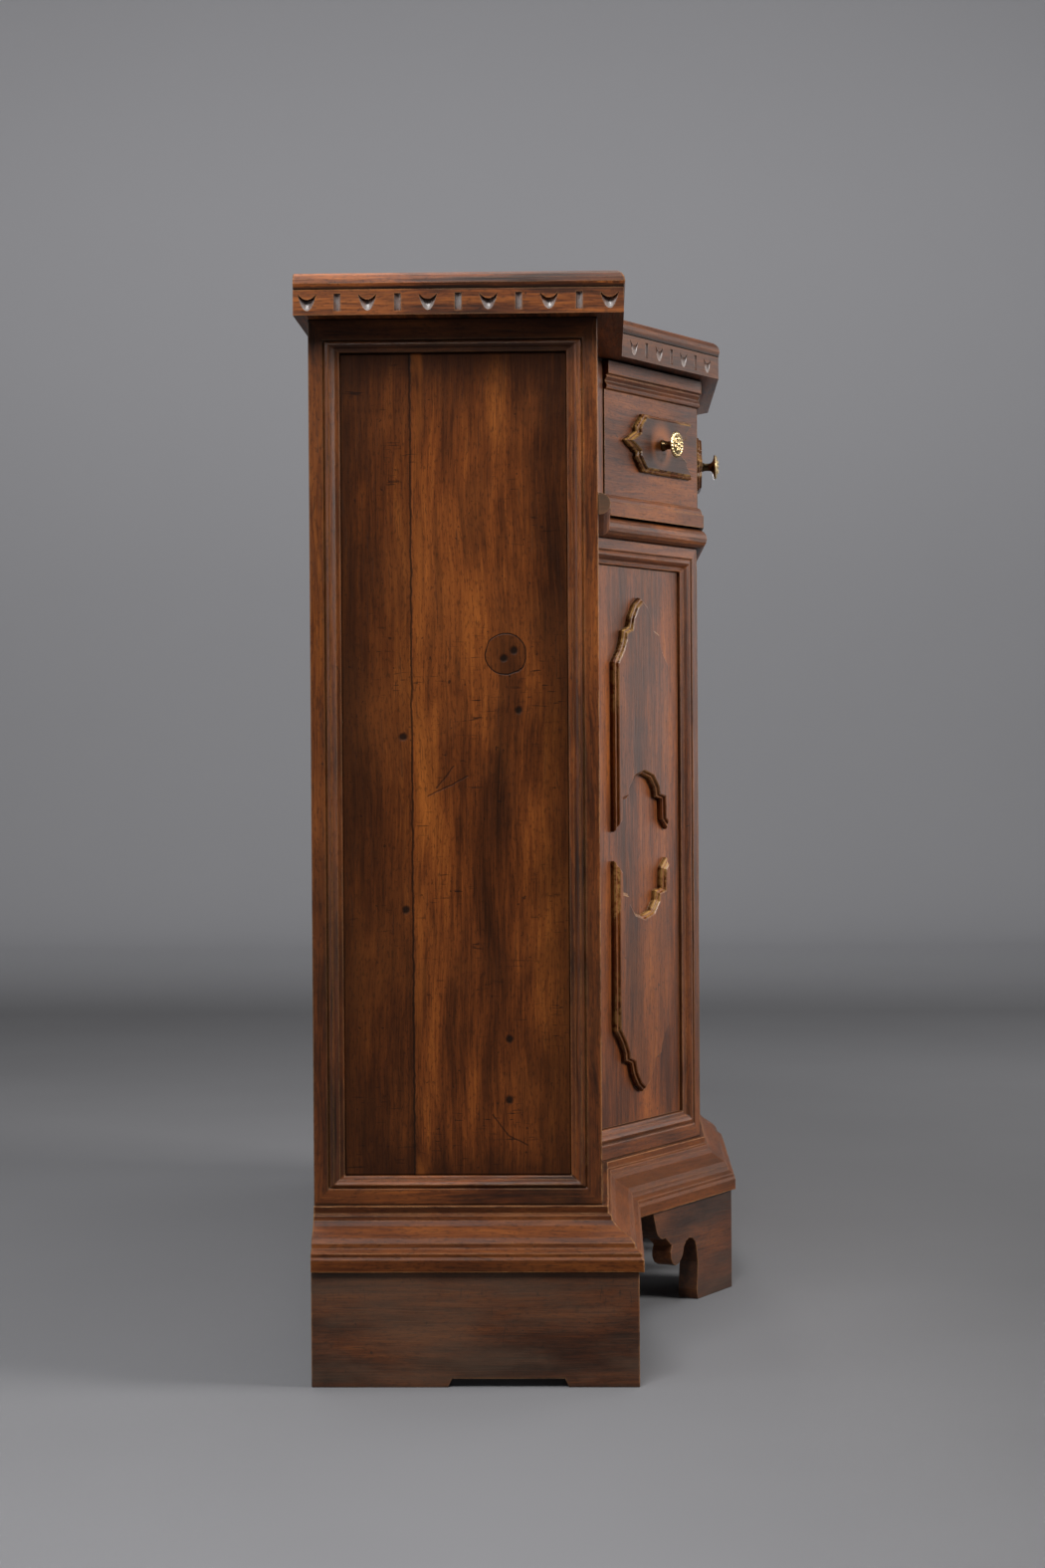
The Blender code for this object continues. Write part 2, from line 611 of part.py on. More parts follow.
def make_cants():
    start, width = cant_span()
    place = face_matrix(cant_point(start) + UP * (CARCASS_BOTTOM + FIT), CANT_ALONG, CANT_OUT)
    size = (width, CUPBOARD_HEIGHT - 2 * FIT)
    mouldings = (DOOR_MOULDING, DOOR_RAIL_MOULDING)
    fixed = frame("cant_frame_left", place, size, DOOR_STILE, DOOR_RAILS, mouldings, FRAME_THICKNESS)
    trim = box("trim", (OUTER_CORNER.x, CENTRE_Y - CANT_DEPTH, 0), (0, BACK_Y, TOTAL_HEIGHT), WALNUT, CUTTERS)
    pair(combine(fixed, [trim], "DIFFERENCE"))
    pair(panel("cant_panel_left", place, size))


# Doors
def hang(objects, name, centre):
    """Parent the pieces of one moving body to an empty on its axis."""
    axis = bpy.data.objects.new(name, None)
    axis.location = centre
    PARTS.objects.link(axis)
    bpy.context.view_layer.update()
    for obj in objects:
        obj.parent = axis
        obj.matrix_parent_inverse = axis.matrix_world.inverted()


def escutcheon(name, seat):
    """Oval keyhole plate on a door's closing stile."""
    turns = [2 * math.pi * k / ROUND_SIDES for k in range(ROUND_SIDES)]
    edge = [Vector((math.cos(a) * ESCUTCHEON_WIDTH / 2, 0, math.sin(a) * ESCUTCHEON_HEIGHT / 2))
            for a in turns]
    loops = [[seat + FORWARD * out + p for p in edge] for out in (FIT, FIT + ESCUTCHEON_THICKNESS)]
    oval = loft(name, loops, BRASS)
    depth = 4 * ESCUTCHEON_THICKNESS
    eye = rod("eye", seat + UP * KEYHOLE_RADIUS, FORWARD, KEYHOLE_RADIUS, depth, BRASS, CUTTERS)
    half_slot = KEYHOLE_RADIUS / 2
    slot = box("slot", seat - Vector((half_slot, depth / 2, KEYHOLE_LENGTH / 2)),
               seat + Vector((half_slot, depth / 2, KEYHOLE_RADIUS)), BRASS, CUTTERS)
    return combine(oval, [eye, slot], "DIFFERENCE")


def make_door(kind, side, left, right, face_y):
    """A door hung on two pivot pins at its left edge. Returns its pieces, its pins and the pivot."""
    size = (right - left, DOOR_HEIGHT)
    place = face_matrix(Vector((left, face_y, DOOR_BOTTOM)), RIGHT, FORWARD)
    mouldings = (DOOR_MOULDING, DOOR_RAIL_MOULDING)
    leaf = frame(f"{kind}_door_frame{side}", place, size, DOOR_STILE, DOOR_RAILS, mouldings, FRAME_THICKNESS)
    field = panel(f"{kind}_door_panel{side}", place, size)
    keyhole = Vector((right - DOOR_STILE / 2, face_y, DOOR_BOTTOM + DOOR_HEIGHT / 2))
    pieces = [leaf, field, escutcheon(f"{kind}_door_escutcheon{side}", keyhole)]
    pivot = Vector((left + PIN_FROM_EDGE, face_y + PIN_FROM_FACE, 0))
    holes, pins = [], []
    for end, level in (("bottom", DOOR_BOTTOM), ("top", DOOR_BOTTOM + DOOR_HEIGHT)):
        spot = pivot + UP * level
        length = PIN_LENGTH + 2 * PIN_CLEARANCE
        holes.append(rod("hole", spot, UP, PIN_RADIUS + PIN_CLEARANCE, length, IRON, CUTTERS))
        pins.append(rod(f"{kind}_door_pin_{end}{side}", spot, UP, PIN_RADIUS, PIN_LENGTH, IRON))
    combine(leaf, holes, "DIFFERENCE")
    return pieces, pins, pivot


def make_doors():
    wing_left = -HALF + SIDE_THICKNESS + HINGE_GAP
    wing_right = cant_point(cant_span()[0]).x - HINGE_GAP
    pieces, pins, wing_pivot = make_door("wing", "_left", wing_left, wing_right, WING_Y + WING_RECESS)
    for pin in pins:
        pair(pin)
    twins = [pair(obj)[1] for obj in pieces]
    hang(pieces, "wing_door_left_axis", wing_pivot)
    hang(twins, "wing_door_right_axis", wing_pivot * FLIP)
    edge = OUTER_CORNER.x + HINGE_GAP
    pieces, pins, centre_pivot = make_door("centre", "", edge, -edge, CENTRE_Y)
    hang(pieces, "centre_door_axis", centre_pivot)
    for node, level in (("bottom_board", DOOR_BOTTOM), ("drawer_deck", DOOR_BOTTOM + DOOR_HEIGHT)):
        bores = [rod("bore", pivot + UP * level, UP, PIN_RADIUS + FIT, PIN_LENGTH + 2 * FIT, IRON, CUTTERS)
                 for pivot in (wing_pivot, wing_pivot * FLIP, centre_pivot)]
        combine(bpy.data.objects[node], bores, "DIFFERENCE")


# Drawers and friezes
def drawer_section(bottom, top):
    """Upright section of a front: fillet and ovolo below, field, grooved band above."""
    rise = DRAWER_FOOT - DRAWER_QUIRK - DRAWER_FIELD
    shoulder = bottom + DRAWER_FOOT_HEIGHT
    ovolo = [(DRAWER_FOOT, shoulder)]
    ovolo += [(DRAWER_FIELD + rise * math.cos(a), shoulder + DRAWER_OVOLO * math.sin(a))
              for a in (math.pi / 2 * k / 3 for k in range(4))]
    band = CORNICE_BOTTOM - DRAWER_TOP_GAP - DRAWER_BAND
    relief = [(0.45, 0.03), (0.65, 0.15), (0.10, 0.30), (0.65, 0.46), (0.45, 0.50), (1.0, 0.55)]
    head = DRAWER_HEAD - DRAWER_FIELD
    steps = [(DRAWER_FIELD + head * out, band + DRAWER_BAND * up) for out, up in relief]
    foot = [(-DRAWER_FRONT_THICKNESS, bottom), (DRAWER_FOOT, bottom)]
    lip = [(DRAWER_HEAD, top), (-DRAWER_FRONT_THICKNESS, top)]
    return foot + ovolo + [(DRAWER_FIELD, band)] + steps + lip


def knob(name, seat, out):
    """Turned knob with a small foot, a waisted stem and a domed disc."""
    disc = [(1.15 * KNOB_STEM, 0.60), (0.45 * KNOB_DISC_RADIUS, 0.69), (0.97 * KNOB_DISC_RADIUS, 0.76),
            (KNOB_DISC_RADIUS, 0.82), (0.80 * KNOB_DISC_RADIUS, 0.91), (0.45 * KNOB_DISC_RADIUS, 1.0)]
    foot = [(1.4 * KNOB_STEM, 0.0), (1.4 * KNOB_STEM, 0.05), (1.15 * KNOB_STEM, 0.13), (KNOB_STEM, 0.28)]
    profile = [(radius, share * KNOB_LENGTH) for radius, share in foot + disc]
    return turned(name, seat, out, profile, BRASS)


def drawer_box(name, outline):
    """Open-topped tray on a plan outline."""
    bottom, top = DECK_TOP + FIT, CORNICE_BOTTOM - BOX_TOP_GAP
    tray = board(name, outline, bottom, top, INNER_WOOD)
    flat = inset_outline([Vector((p.x, p.y)) for p in outline], DRAWER_WALL)
    inner = [Vector((p.x, p.y, 0)) for p in flat]
    hollow = board("hollow", inner, bottom + DRAWER_BOTTOM, top + DRAWER_WALL, INNER_WOOD, CUTTERS)
    return combine(tray, [hollow], "DIFFERENCE")


def make_front(name, section, rows, seat, along, out, shape):
    """A moulded front with a raised plate at seat, which lies on the carcass's plane."""
    front = loft(name, swept(rows, [z for p, z in section]), WALNUT)
    place = face_matrix(seat + out * DRAWER_FIELD, along, out)
    return combine(front, [plate(place, shape)], "UNION")


def make_drawer(kind, side, rows, outline, seat, along, out, shape):
    """Front, tray and knob of one drawer."""
    section = drawer_section(FRONT_BOTTOM, FRONT_TOP)
    front = make_front(f"{kind}_drawer_front{side}", section, rows(section), seat, along, out, shape)
    tray = drawer_box(f"{kind}_drawer_box{side}", outline)
    pull = knob(f"{kind}_drawer_knob{side}", seat + out * (DRAWER_FIELD + PLATE_HEIGHT + FIT), out)
    return [front, tray, pull]


def make_frieze():
    """Fixed front over a wing door, set back like the door."""
    face = WING_Y + WING_RECESS
    near = -HALF + SIDE_THICKNESS + FIT
    far = INNER_CORNER.x - DIVIDER_THICKNESS - FIT
    section = drawer_section(DECK_TOP + FIT, CORNICE_BOTTOM - FIT)
    rows = [[Vector((x, face - p, 0)) for x in (near, far)] for p, z in section]
    seat = Vector(((near + far) / 2, face, KNOB_HEIGHT))
    shape = lozenge_plate(DRAWER_PLATE_LENGTH, DRAWER_PLATE_HEIGHT)
    pair(make_front("wing_frieze_left", section, rows, seat, RIGHT, FORWARD, shape))


def make_cant_drawers():
    def rows(section):
        return [[cant_point(CORNER_POST, p), outer_corner(p) - CANT_ALONG * DRAWER_SIDE_GAP / 2]
                for p, z in section]

    behind = -DRAWER_FRONT_THICKNESS - FIT
    start = cant_point(CORNER_POST + BOX_NEAR_INSET, behind)
    end = cant_point(CANT_LENGTH - BOX_FAR_INSET, behind)
    back = BACK_Y - CANT_BOX_BACK
    reach = (back - start.y) / -CANT_OUT.y
    outline = [start, end, Vector((end.x, back, 0)), start - CANT_OUT * reach]
    seat = cant_point(CANT_PLATE_PLACE) + UP * KNOB_HEIGHT
    shape = chevron_plate(DRAWER_PLATE_LENGTH, DRAWER_PLATE_HEIGHT)
    pieces = make_drawer("cant", "_left", rows, outline, seat, CANT_ALONG, CANT_OUT, shape)
    twins = [pair(obj)[1] for obj in pieces]
    hang(pieces, "cant_drawer_left_axis", seat)
    hang(twins, "cant_drawer_right_axis", seat * FLIP)


def make_centre_drawer():
    def rows(section):
        corners = [outer_corner(p) + RIGHT * DRAWER_SIDE_GAP / 2 for p, z in section]
        return [[corner, corner * FLIP] for corner in corners]

    side = outer_corner(-DRAWER_FRONT_THICKNESS).x + DRAWER_SIDE_GAP
    front = CENTRE_Y + DRAWER_FRONT_THICKNESS + FIT
    back = front + CENTRE_BOX_DEPTH
    outline = [Vector((x, y, 0)) for x, y in ((side, front), (-side, front), (-side, back), (side, back))]
    seat = Vector((0, CENTRE_Y, KNOB_HEIGHT))
    shape = lozenge_plate(DRAWER_PLATE_LENGTH, DRAWER_PLATE_HEIGHT)
    pieces = make_drawer("centre", "", rows, outline, seat, RIGHT, FORWARD, shape)
    hang(pieces, "centre_drawer_axis", seat)


make_top()
make_cornice()
make_base()
make_feet()
make_carcass()
make_sides()
make_cants()
make_doors()
make_frieze()
make_cant_drawers()
make_centre_drawer()
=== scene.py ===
"""Looks of the walnut buffet cabinet: waxed wood, carving, cast knobs, camera and studio."""
import json
import math

import bmesh
import bpy
from mathutils import Matrix, Vector


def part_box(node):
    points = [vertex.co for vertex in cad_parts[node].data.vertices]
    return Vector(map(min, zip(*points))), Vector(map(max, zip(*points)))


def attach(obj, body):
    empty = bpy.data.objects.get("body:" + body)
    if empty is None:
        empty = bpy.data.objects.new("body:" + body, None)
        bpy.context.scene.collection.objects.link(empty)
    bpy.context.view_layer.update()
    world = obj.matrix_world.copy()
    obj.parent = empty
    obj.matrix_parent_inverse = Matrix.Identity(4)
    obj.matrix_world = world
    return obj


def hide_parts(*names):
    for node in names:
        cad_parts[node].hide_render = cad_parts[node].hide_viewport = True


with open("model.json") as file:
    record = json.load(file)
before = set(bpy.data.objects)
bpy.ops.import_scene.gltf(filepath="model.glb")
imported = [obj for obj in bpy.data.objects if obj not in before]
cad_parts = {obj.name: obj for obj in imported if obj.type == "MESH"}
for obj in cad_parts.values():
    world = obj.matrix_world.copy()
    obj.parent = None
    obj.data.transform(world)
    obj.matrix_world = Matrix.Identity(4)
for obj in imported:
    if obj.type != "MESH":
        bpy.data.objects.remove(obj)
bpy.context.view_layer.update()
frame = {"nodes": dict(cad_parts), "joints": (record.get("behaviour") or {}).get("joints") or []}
NODES = frame["nodes"]
UP = Vector((0, 0, 1))
RIGHT = Vector((1, 0, 0))
FORWARD = Vector((0, -1, 0))
FLIP = Vector((-1, 1, 1))

# Places read from the frame
SIDE_LOW, SIDE_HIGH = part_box("side_frame_left")
CORNICE_LOW, CORNICE_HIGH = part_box("cornice_board")
CANT_JOINT = next(j for j in frame["joints"] if j["name"] == "cant_drawer_slide_left")
CANT_OUT = Vector(CANT_JOINT["axis"])
KNOB_LEVEL = sum(corner.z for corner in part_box("cant_drawer_knob_left")) / 2

# Photograph's camera: focal length in millimetres on a 36 mm high frame, turns in radians
LENS = 66.91
FRAME_HEIGHT = 36.0
CAMERA_FROM_SIDE = 2.8965
CAMERA_FROM_BACK = 0.2892
CAMERA_HEIGHT = 0.6286
CAMERA_YAW = -0.02699
CAMERA_PITCH = -0.01198
CAMERA_ROLL = -0.00641

# Carving of the cornice: flutes at the pitch of the CAD's upright grooves, and tulips midway between
CARVING_PITCH = 0.0597
FLUTE_RADIUS = 0.0033
FLUTE_HEIGHT = 0.0170
FLUTE_SIDES = 20
TULIP_HALF_WIDTH = 0.0092
TULIP_HALF_HEIGHT = 0.0082
TULIP_DIP = 0.0056         # how far its upper edge hangs between the two horns
TULIP_DEPTH = 0.0056
TULIP_END_MARGIN = 0.009   # from the end of a show edge
TULIP_COLUMNS = 13
TULIP_ROWS = 6
TULIP_SPAN = 0.985         # share of its half width that is cut
TULIP_POINT = 2.3          # power of the curve of its foot
TULIP_RUN_OUT = 0.75       # power of the curve of its depth
CUTTER_PROUD = 0.001       # how far its cutter stands out of the edge

# Cast knobs: shares of the radius and length of their CAD nodes
KNOB_SIDES = 88
KNOB_STEM = ((0.42, 0.0), (0.42, 0.05), (0.36, 0.12), (0.31, 0.24), (0.30, 0.40),
             (0.33, 0.54), (0.46, 0.64), (0.72, 0.70), (0.96, 0.73), (1.0, 0.77))
KNOB_FACE_RINGS = 24
KNOB_FACE_RADIUS = 0.97
KNOB_FACE_START = 0.80
KNOB_FACE_DOME = 0.13
KNOB_SEAT_BAND = 0.00001   # points this near the lowest one, in metres, are on the seat
TARNISH_REACH = 0.003      # of the occlusion that finds the hollows of the brass, in metres
TARNISHED = (0.10, 0.42)   # 1 less that occlusion, where tarnish begins and is full

# Relief of a knob's face: height in metres, then middle and half width as shares of the radius
BOSS = (0.0014, 0.0, 0.20)
PETALS = (0.0017, 0.44, 0.24)
GROOVE = (-0.0010, 0.70, 0.07)
BEADS = (0.0013, 0.85, 0.10)
PETAL_COUNT = 8
BEAD_COUNT = 22

# Marks on the side panels: distance from the back and height
PANEL_SEAM = 0.1006
PLUG = (0.1947, 0.7234)
PLUG_RADIUS = 0.0205
PLUG_HOLES = ((PLUG[0] - 0.002, PLUG[1] - 0.004), (PLUG[0] + 0.008, PLUG[1] + 0.004))
DINGS = ((0.2072, 0.6677), (0.0918, 0.6417), (0.0936, 0.4687), (0.1962, 0.3389), (0.1958, 0.2782))
DING_RADIUS = 0.0056
SCRATCHES = (((0.1162, 0.5819), (0.1561, 0.6016)), ((0.1788, 0.2634), (0.1940, 0.2430)),
             ((0.1940, 0.2430), (0.2134, 0.2334)), ((0.1250, 0.5900), (0.1420, 0.6120)))
SCRATCH_WIDTH = 0.0011
SEAM_HALF_WIDTH = (0.0005, 0.0015)   # of its dark core, and where it is gone
RING_HALF_WIDTH = (0.0002, 0.0011)   # the same, for the ring round the plug
PALE_HALF_WIDTH = (0.002, 0.008)     # the same, for the pale line beside the seam
BOARD_STEP = 0.0004        # half the width over which one board's tone turns into the other's
PLUG_STEP = 0.0006         # width over which the plug's tone ends
DING_CORE = 0.4            # share of a ding's radius that is full
SCRATCH_CORE = 0.3         # share of a scratch's width that is full
MARK_DEPTH = 2.2           # in the units of the bump's height
MARK_WOBBLE = 0.004        # how far a mark's outline strays
PALE_LINE = 0.007          # from the seam to the pale line beside it

# Edges of a side panel: distances in metres over which its painted shade, and the painted shadow under its
# top, fade, and how far that strays
RIM_SHADE_FADE, RIM_SHADE_STRAY = 0.055, 0.07
TOP_SHADOW_FADE, TOP_SHADOW_STRAY = 0.11, 0.12

# Painted shade and shadows, painted light and shade on front faces, and dusty end grain: where each begins
# and is full
BACK_STILE_PAINTED_SHADE = (-0.10, -0.19)    # painted shade on the back stile, forward of the frame's origin
FRAME_TOP_PAINTED_SHADOW = (0.06, 0.02)       # painted shadow, below the top of a side frame
SLAB_JOINT_PAINTED_SHADOW = (0.004, 0.001)    # painted shadow, above the slab's underside
PAINTED_FRONT_FACES = (0.20, 0.55)           # cosine of what faces the front, for painted light and shade there
END_GRAIN = (0.85, 0.97)             # cosine of what faces sideways on the drawer deck

# Raised plates
PLATE_HALF_HEIGHT = 0.034  # of a drawer's plate
PLATE_FACE_DEPTH = 0.001   # points this near a node's foremost one are on a plate's flat face
PLATE_LEAN = (0.04, 0.30)  # turn from the face, as 1 less its cosine, where an edge begins and is full
PLATE_LEAN_LIMIT = 1.2     # what is turned more than this looks backwards
HIGHLIGHT_BELOW_TOP = 0.075     # middle of the painted highlight on the upper plate's point, under the panel's top
HIGHLIGHT_BELOW_MIDDLE = 0.048  # middle of the painted highlight on the lower plate's notch, under the panel's middle
PLATE_HIGHLIGHT_FADE = (0.026, 0.042)  # distances from these levels where the painted highlight starts to fade and is gone
PLATE_HIGHLIGHT_OPENNESS = (0.42, 0.72)  # occlusion, 1 in the open, where the painted highlight begins to show and is full
CARVING_HIGHLIGHT_OPENNESS = (0.30, 0.66)  # the same, for the painted highlights of the carving
KNOB_REFLECTION = (0.014, 0.034)  # distances from a knob's middle where its painted orange reflection starts to fade and is gone

# Colours, linear
DARK = (0.0140, 0.0048, 0.0018)
BROWN = (0.0560, 0.0150, 0.0040)
RED_BROWN = (0.1200, 0.0310, 0.0066)
ORANGE = (0.2600, 0.0760, 0.0135)
# colour of rubbed arrises, which also stands for painted highlights on them
WORN_AND_HIGHLIGHT = (0.4300, 0.2150, 0.0820)
# soot of specks, nicks and knocks; also painted shade in recesses and painted shadows
SOOT_AND_SHADE = (0.0060, 0.0035, 0.0022)
DUST = (0.1150, 0.0720, 0.0460)
# ochre of the painted highlights on the plates' edges
OCHRE_HIGHLIGHT = (0.5000, 0.2850, 0.0930)
# pale colour of the painted highlights in the carving
CARVING_HIGHLIGHT = (0.2500, 0.2250, 0.2150)
IRON_GREY = (0.07, 0.066, 0.062)
RUST = (0.09, 0.045, 0.025)
TARNISH = (0.030, 0.018, 0.009)
PAPER = (0.985, 0.99, 1.04)
DAYLIGHT = (0.95, 0.97, 1.0)
FIGURE_COLOURS = ((0.38, DARK), (0.46, BROWN), (0.52, RED_BROWN), (0.62, ORANGE))

# Grain: how a layer of the figure is stretched along, across and into the wood
SWAY_GRAIN = (2.2, 5.0, 5.0)
BROAD_GRAIN = (2.4, 15.0, 15.0)
STREAK_GRAIN = (9.0, 170.0, 170.0)
FINE_GRAIN = (22.0, 620.0, 620.0)
SMUDGE_GRAIN = (4.5, 26.0, 26.0)
PEPPER_GRAIN = (140.0, 430.0, 430.0)
NICK_GRAIN = (430.0, 50.0, 50.0)
DUST_GRAIN = (0.35, 1.0, 1.0)
PALE_GRAIN = (1.0, 4.0, 1.0)

# Noises: scale, detail, roughness and, where there is one, distortion
SWAY_NOISE = (1.0, 3.0, 0.55)
BROAD_NOISE = (1.0, 4.0, 0.60, 0.3)
STREAK_NOISE = (1.0, 5.0, 0.70, 0.4)
FINE_NOISE = (1.0, 3.0, 0.6)
BLOTCH_NOISE = (6.5, 4.0, 0.65)
SWELL_NOISE = (9.0, 3.0, 0.6)
WOBBLE_NOISE = (60.0, 3.0, 0.6)
CLOUD_NOISE = (11.0, 4.0, 0.6)
PAPER_NOISE = (1.3, 4.0, 0.6)

# Patches: scale, detail and roughness of a noise, then where in it they begin and are full
SMUDGE_PATCHES = (1.0, 6.0, 0.70, 0.50, 0.66)
PEPPER_PATCHES = (1.0, 2.0, 0.6, 0.52, 0.66)
SPECK_PATCHES = (150.0, 2.0, 0.5, 0.70, 0.76)
NICK_CROWDS = (8.0, 3.0, 0.6, 0.46, 0.60)
NICK_PATCHES = (1.0, 2.0, 0.5, 0.63, 0.70)
DUST_PATCHES = (14.0, 5.0, 0.65, 0.35, 0.70)
WORN_PATCHES = (31.0, 5.0, 0.7, 0.34, 0.54)
PALE_PATCHES = (9.0, 4.0, 0.6, 0.42, 0.62)
STAIN_PATCHES = (26.0, 4.0, 0.6, 0.36, 0.60)
DRAWER_HIGHLIGHT_AREAS = (9.0, 3.0, 0.6, 0.42, 0.56)
PANEL_HIGHLIGHT_AREAS = (9.0, 3.0, 0.6, 0.47, 0.60)
PLATE_HIGHLIGHT_PATCHES = (85.0, 4.0, 0.7, 0.38, 0.56)
CARVING_HIGHLIGHT_PATCHES = (120.0, 4.0, 0.65, 0.30, 0.62)
RUST_PATCHES = (160.0, 5.0, 0.7, 0.45, 0.7)
BRASS_PATCHES = (260.0, 4.0, 0.7, 0.42, 0.70)

# Wood: where a mask begins and is full, and how strong a mark is
SWAY = 0.035               # how far the grain swings aside
FINE_SHARE = 0.22          # of the fine grain in the figure
FACED_SHARE = 0.96         # least share of a level normal that points out of the edge it is on
FACED_LEAST = 0.02         # keeps faces that lie flat to the front's grain
LYING = (0.80, 0.97)       # cosine of a face that looks up
BLOTCHES = (0.42, 0.72)
BLOTCH_STRENGTH = 0.6
PORES = (0.58, 0.70)
PORE_STRENGTH = 0.6
PEPPER_STRENGTH = 0.42
SPECK_STRENGTH = 0.7
HOLLOW_REACH = 0.012       # of the occlusion that finds recesses
SHADED_RECESSES = (0.22, 0.70)
ARRIS_RADIUS = 0.0022      # of the bevel that finds worn arrises
ARRISES = (0.012, 0.12)    # 1 less the cosine by which the bevel bends the normal
ARRIS_OPENNESS = (0.55, 0.85)
BLOTCH_ROUGHNESS = 0.25
PORE_ROUGHNESS = 0.15
FINE_RELIEF = 0.6
STREAK_RELIEF = 0.8
SWELL_RELIEF = 1.3
BUMP_STRENGTH = 0.25
BUMP_DISTANCE = 0.0012
PLAIN_LOOK = {
    "tone": 1.0,           # brightness
    "orange": 0.5,         # orange blotches
    "polish": 0.40,        # roughness
    "shine": 0.28,         # specular level
    "wear_and_highlight": 0.6,           # rubbed arrises, lightened also as painted highlights
    "shade_in_recesses": 0.8,           # painted shade in recesses
    "dust": 0.0,           # film of dust
    "contrast": 1.0,       # spread of the figure's colours
    "smudges": 0.5,        # dark smudges along the grain
    "strings": 0.5,        # share of narrow streaks in the figure
    "nicks": 0.0,          # short scratches across the grain
    "calm": 0.0,           # share of contrast and smudges that a face looking up loses
}

# Where each piece's wood differs from the plain look
SIDE_FRAME = {"tone": 1.22, "orange": 0.6, "wear_and_highlight": 0.9, "shade_in_recesses": 1.0, "contrast": 0.8, "smudges": 0.35}
SIDE_PANEL = {"tone": 1.25, "shine": 0.14, "wear_and_highlight": 0.2, "contrast": 0.74, "smudges": 0.3,
              "strings": 0.32, "nicks": 0.9}
FRONT_FRAME = {"tone": 0.86, "contrast": 0.75, "smudges": 0.3}
FRONT_PANEL = {"tone": 1.15, "orange": 0.45, "contrast": 0.72, "smudges": 0.3, "strings": 0.4}
DRAWER_FRONT = {**FRONT_PANEL, "tone": 0.78, "shine": 0.20}
PLINTH = {"tone": 0.78, "orange": 0.2, "polish": 0.55, "dust": 0.45, "contrast": 0.8,
          "strings": 0.3, "nicks": 0.6}
FOOT = {**PLINTH, "tone": 0.58, "dust": 0.2}
SLAB = {"tone": 1.45, "orange": 0.7, "polish": 0.50, "shine": 0.26, "wear_and_highlight": 0.9,
        "smudges": 0.35, "calm": 0.5}
BASE = {"tone": 0.70, "orange": 0.6, "polish": 0.46, "shine": 0.16, "wear_and_highlight": 1.0, "contrast": 0.7,
        "smudges": 0.3, "strings": 0.4}
DECK = {"tone": 0.82}
CORNICE = {"tone": 1.15, "orange": 0.75, "polish": 0.48, "wear_and_highlight": 0.35, "contrast": 1.25}
CARVING = {"tone": 1.2, "polish": 0.27, "shine": 0.6, "wear_and_highlight": 0.0, "shade_in_recesses": 0.25}
INSIDE_WOOD = {"tone": 1.2, "orange": 0.9, "polish": 0.62, "wear_and_highlight": 0.15, "shade_in_recesses": 0.4, "dust": 0.5,
               "contrast": 0.7, "smudges": 0.15}

# Arrises of the meshes
ARRIS_WIDTH = 0.0009
CARVED_ARRIS_WIDTH = 0.0006
WELD_DISTANCE = 0.00002
ARRIS_ANGLE = math.radians(38)

# Studio: a floor of paper that sweeps up into a wall
NEAR_WALL = 6.8
FAR_WALL = 9.0
WALL_SWEEP = 1.2
SWEEP_LEAD = 0.5           # flat ring of paper in front of the sweep
SWEEP_STEPS = 12
WALL_TOP = 6.5
WALL_STEPS = 96
PAPER_TONE = 0.097
PAPER_MOTTLE = 0.02
NEAR_LIGHT_ZONE, NEAR_PAINTED_LIGHT = (-2.6, 3.2), 0.048      # along x, painted lighter where the photograph's camera stands
ASIDE_SHADE_ZONE, ASIDE_PAINTED_SHADE = (-0.1, 0.9), 0.088    # forwards, painted shade in front of the cabinet
ASIDE_SHADE_END = (-0.5, 2.5)                        # along x, where that painted shade fades
WALL_LIGHT_ZONE, WALL_PAINTED_LIGHT = (-0.1, 0.45), 0.210     # in height, painted lighter up the wall
FAR_LIGHT_ZONE, FAR_PAINTED_LIGHT = (2.9, 6.0), 0.33          # along x, painted lighter far behind the cabinet
HIGH_LIGHT_ZONE, HIGH_PAINTED_LIGHT = (0.3, 3.0), 0.25        # in height, painted lighter higher up
WORLD_LIGHT = 0.04

bpy.context.scene.view_settings.view_transform = "Standard"


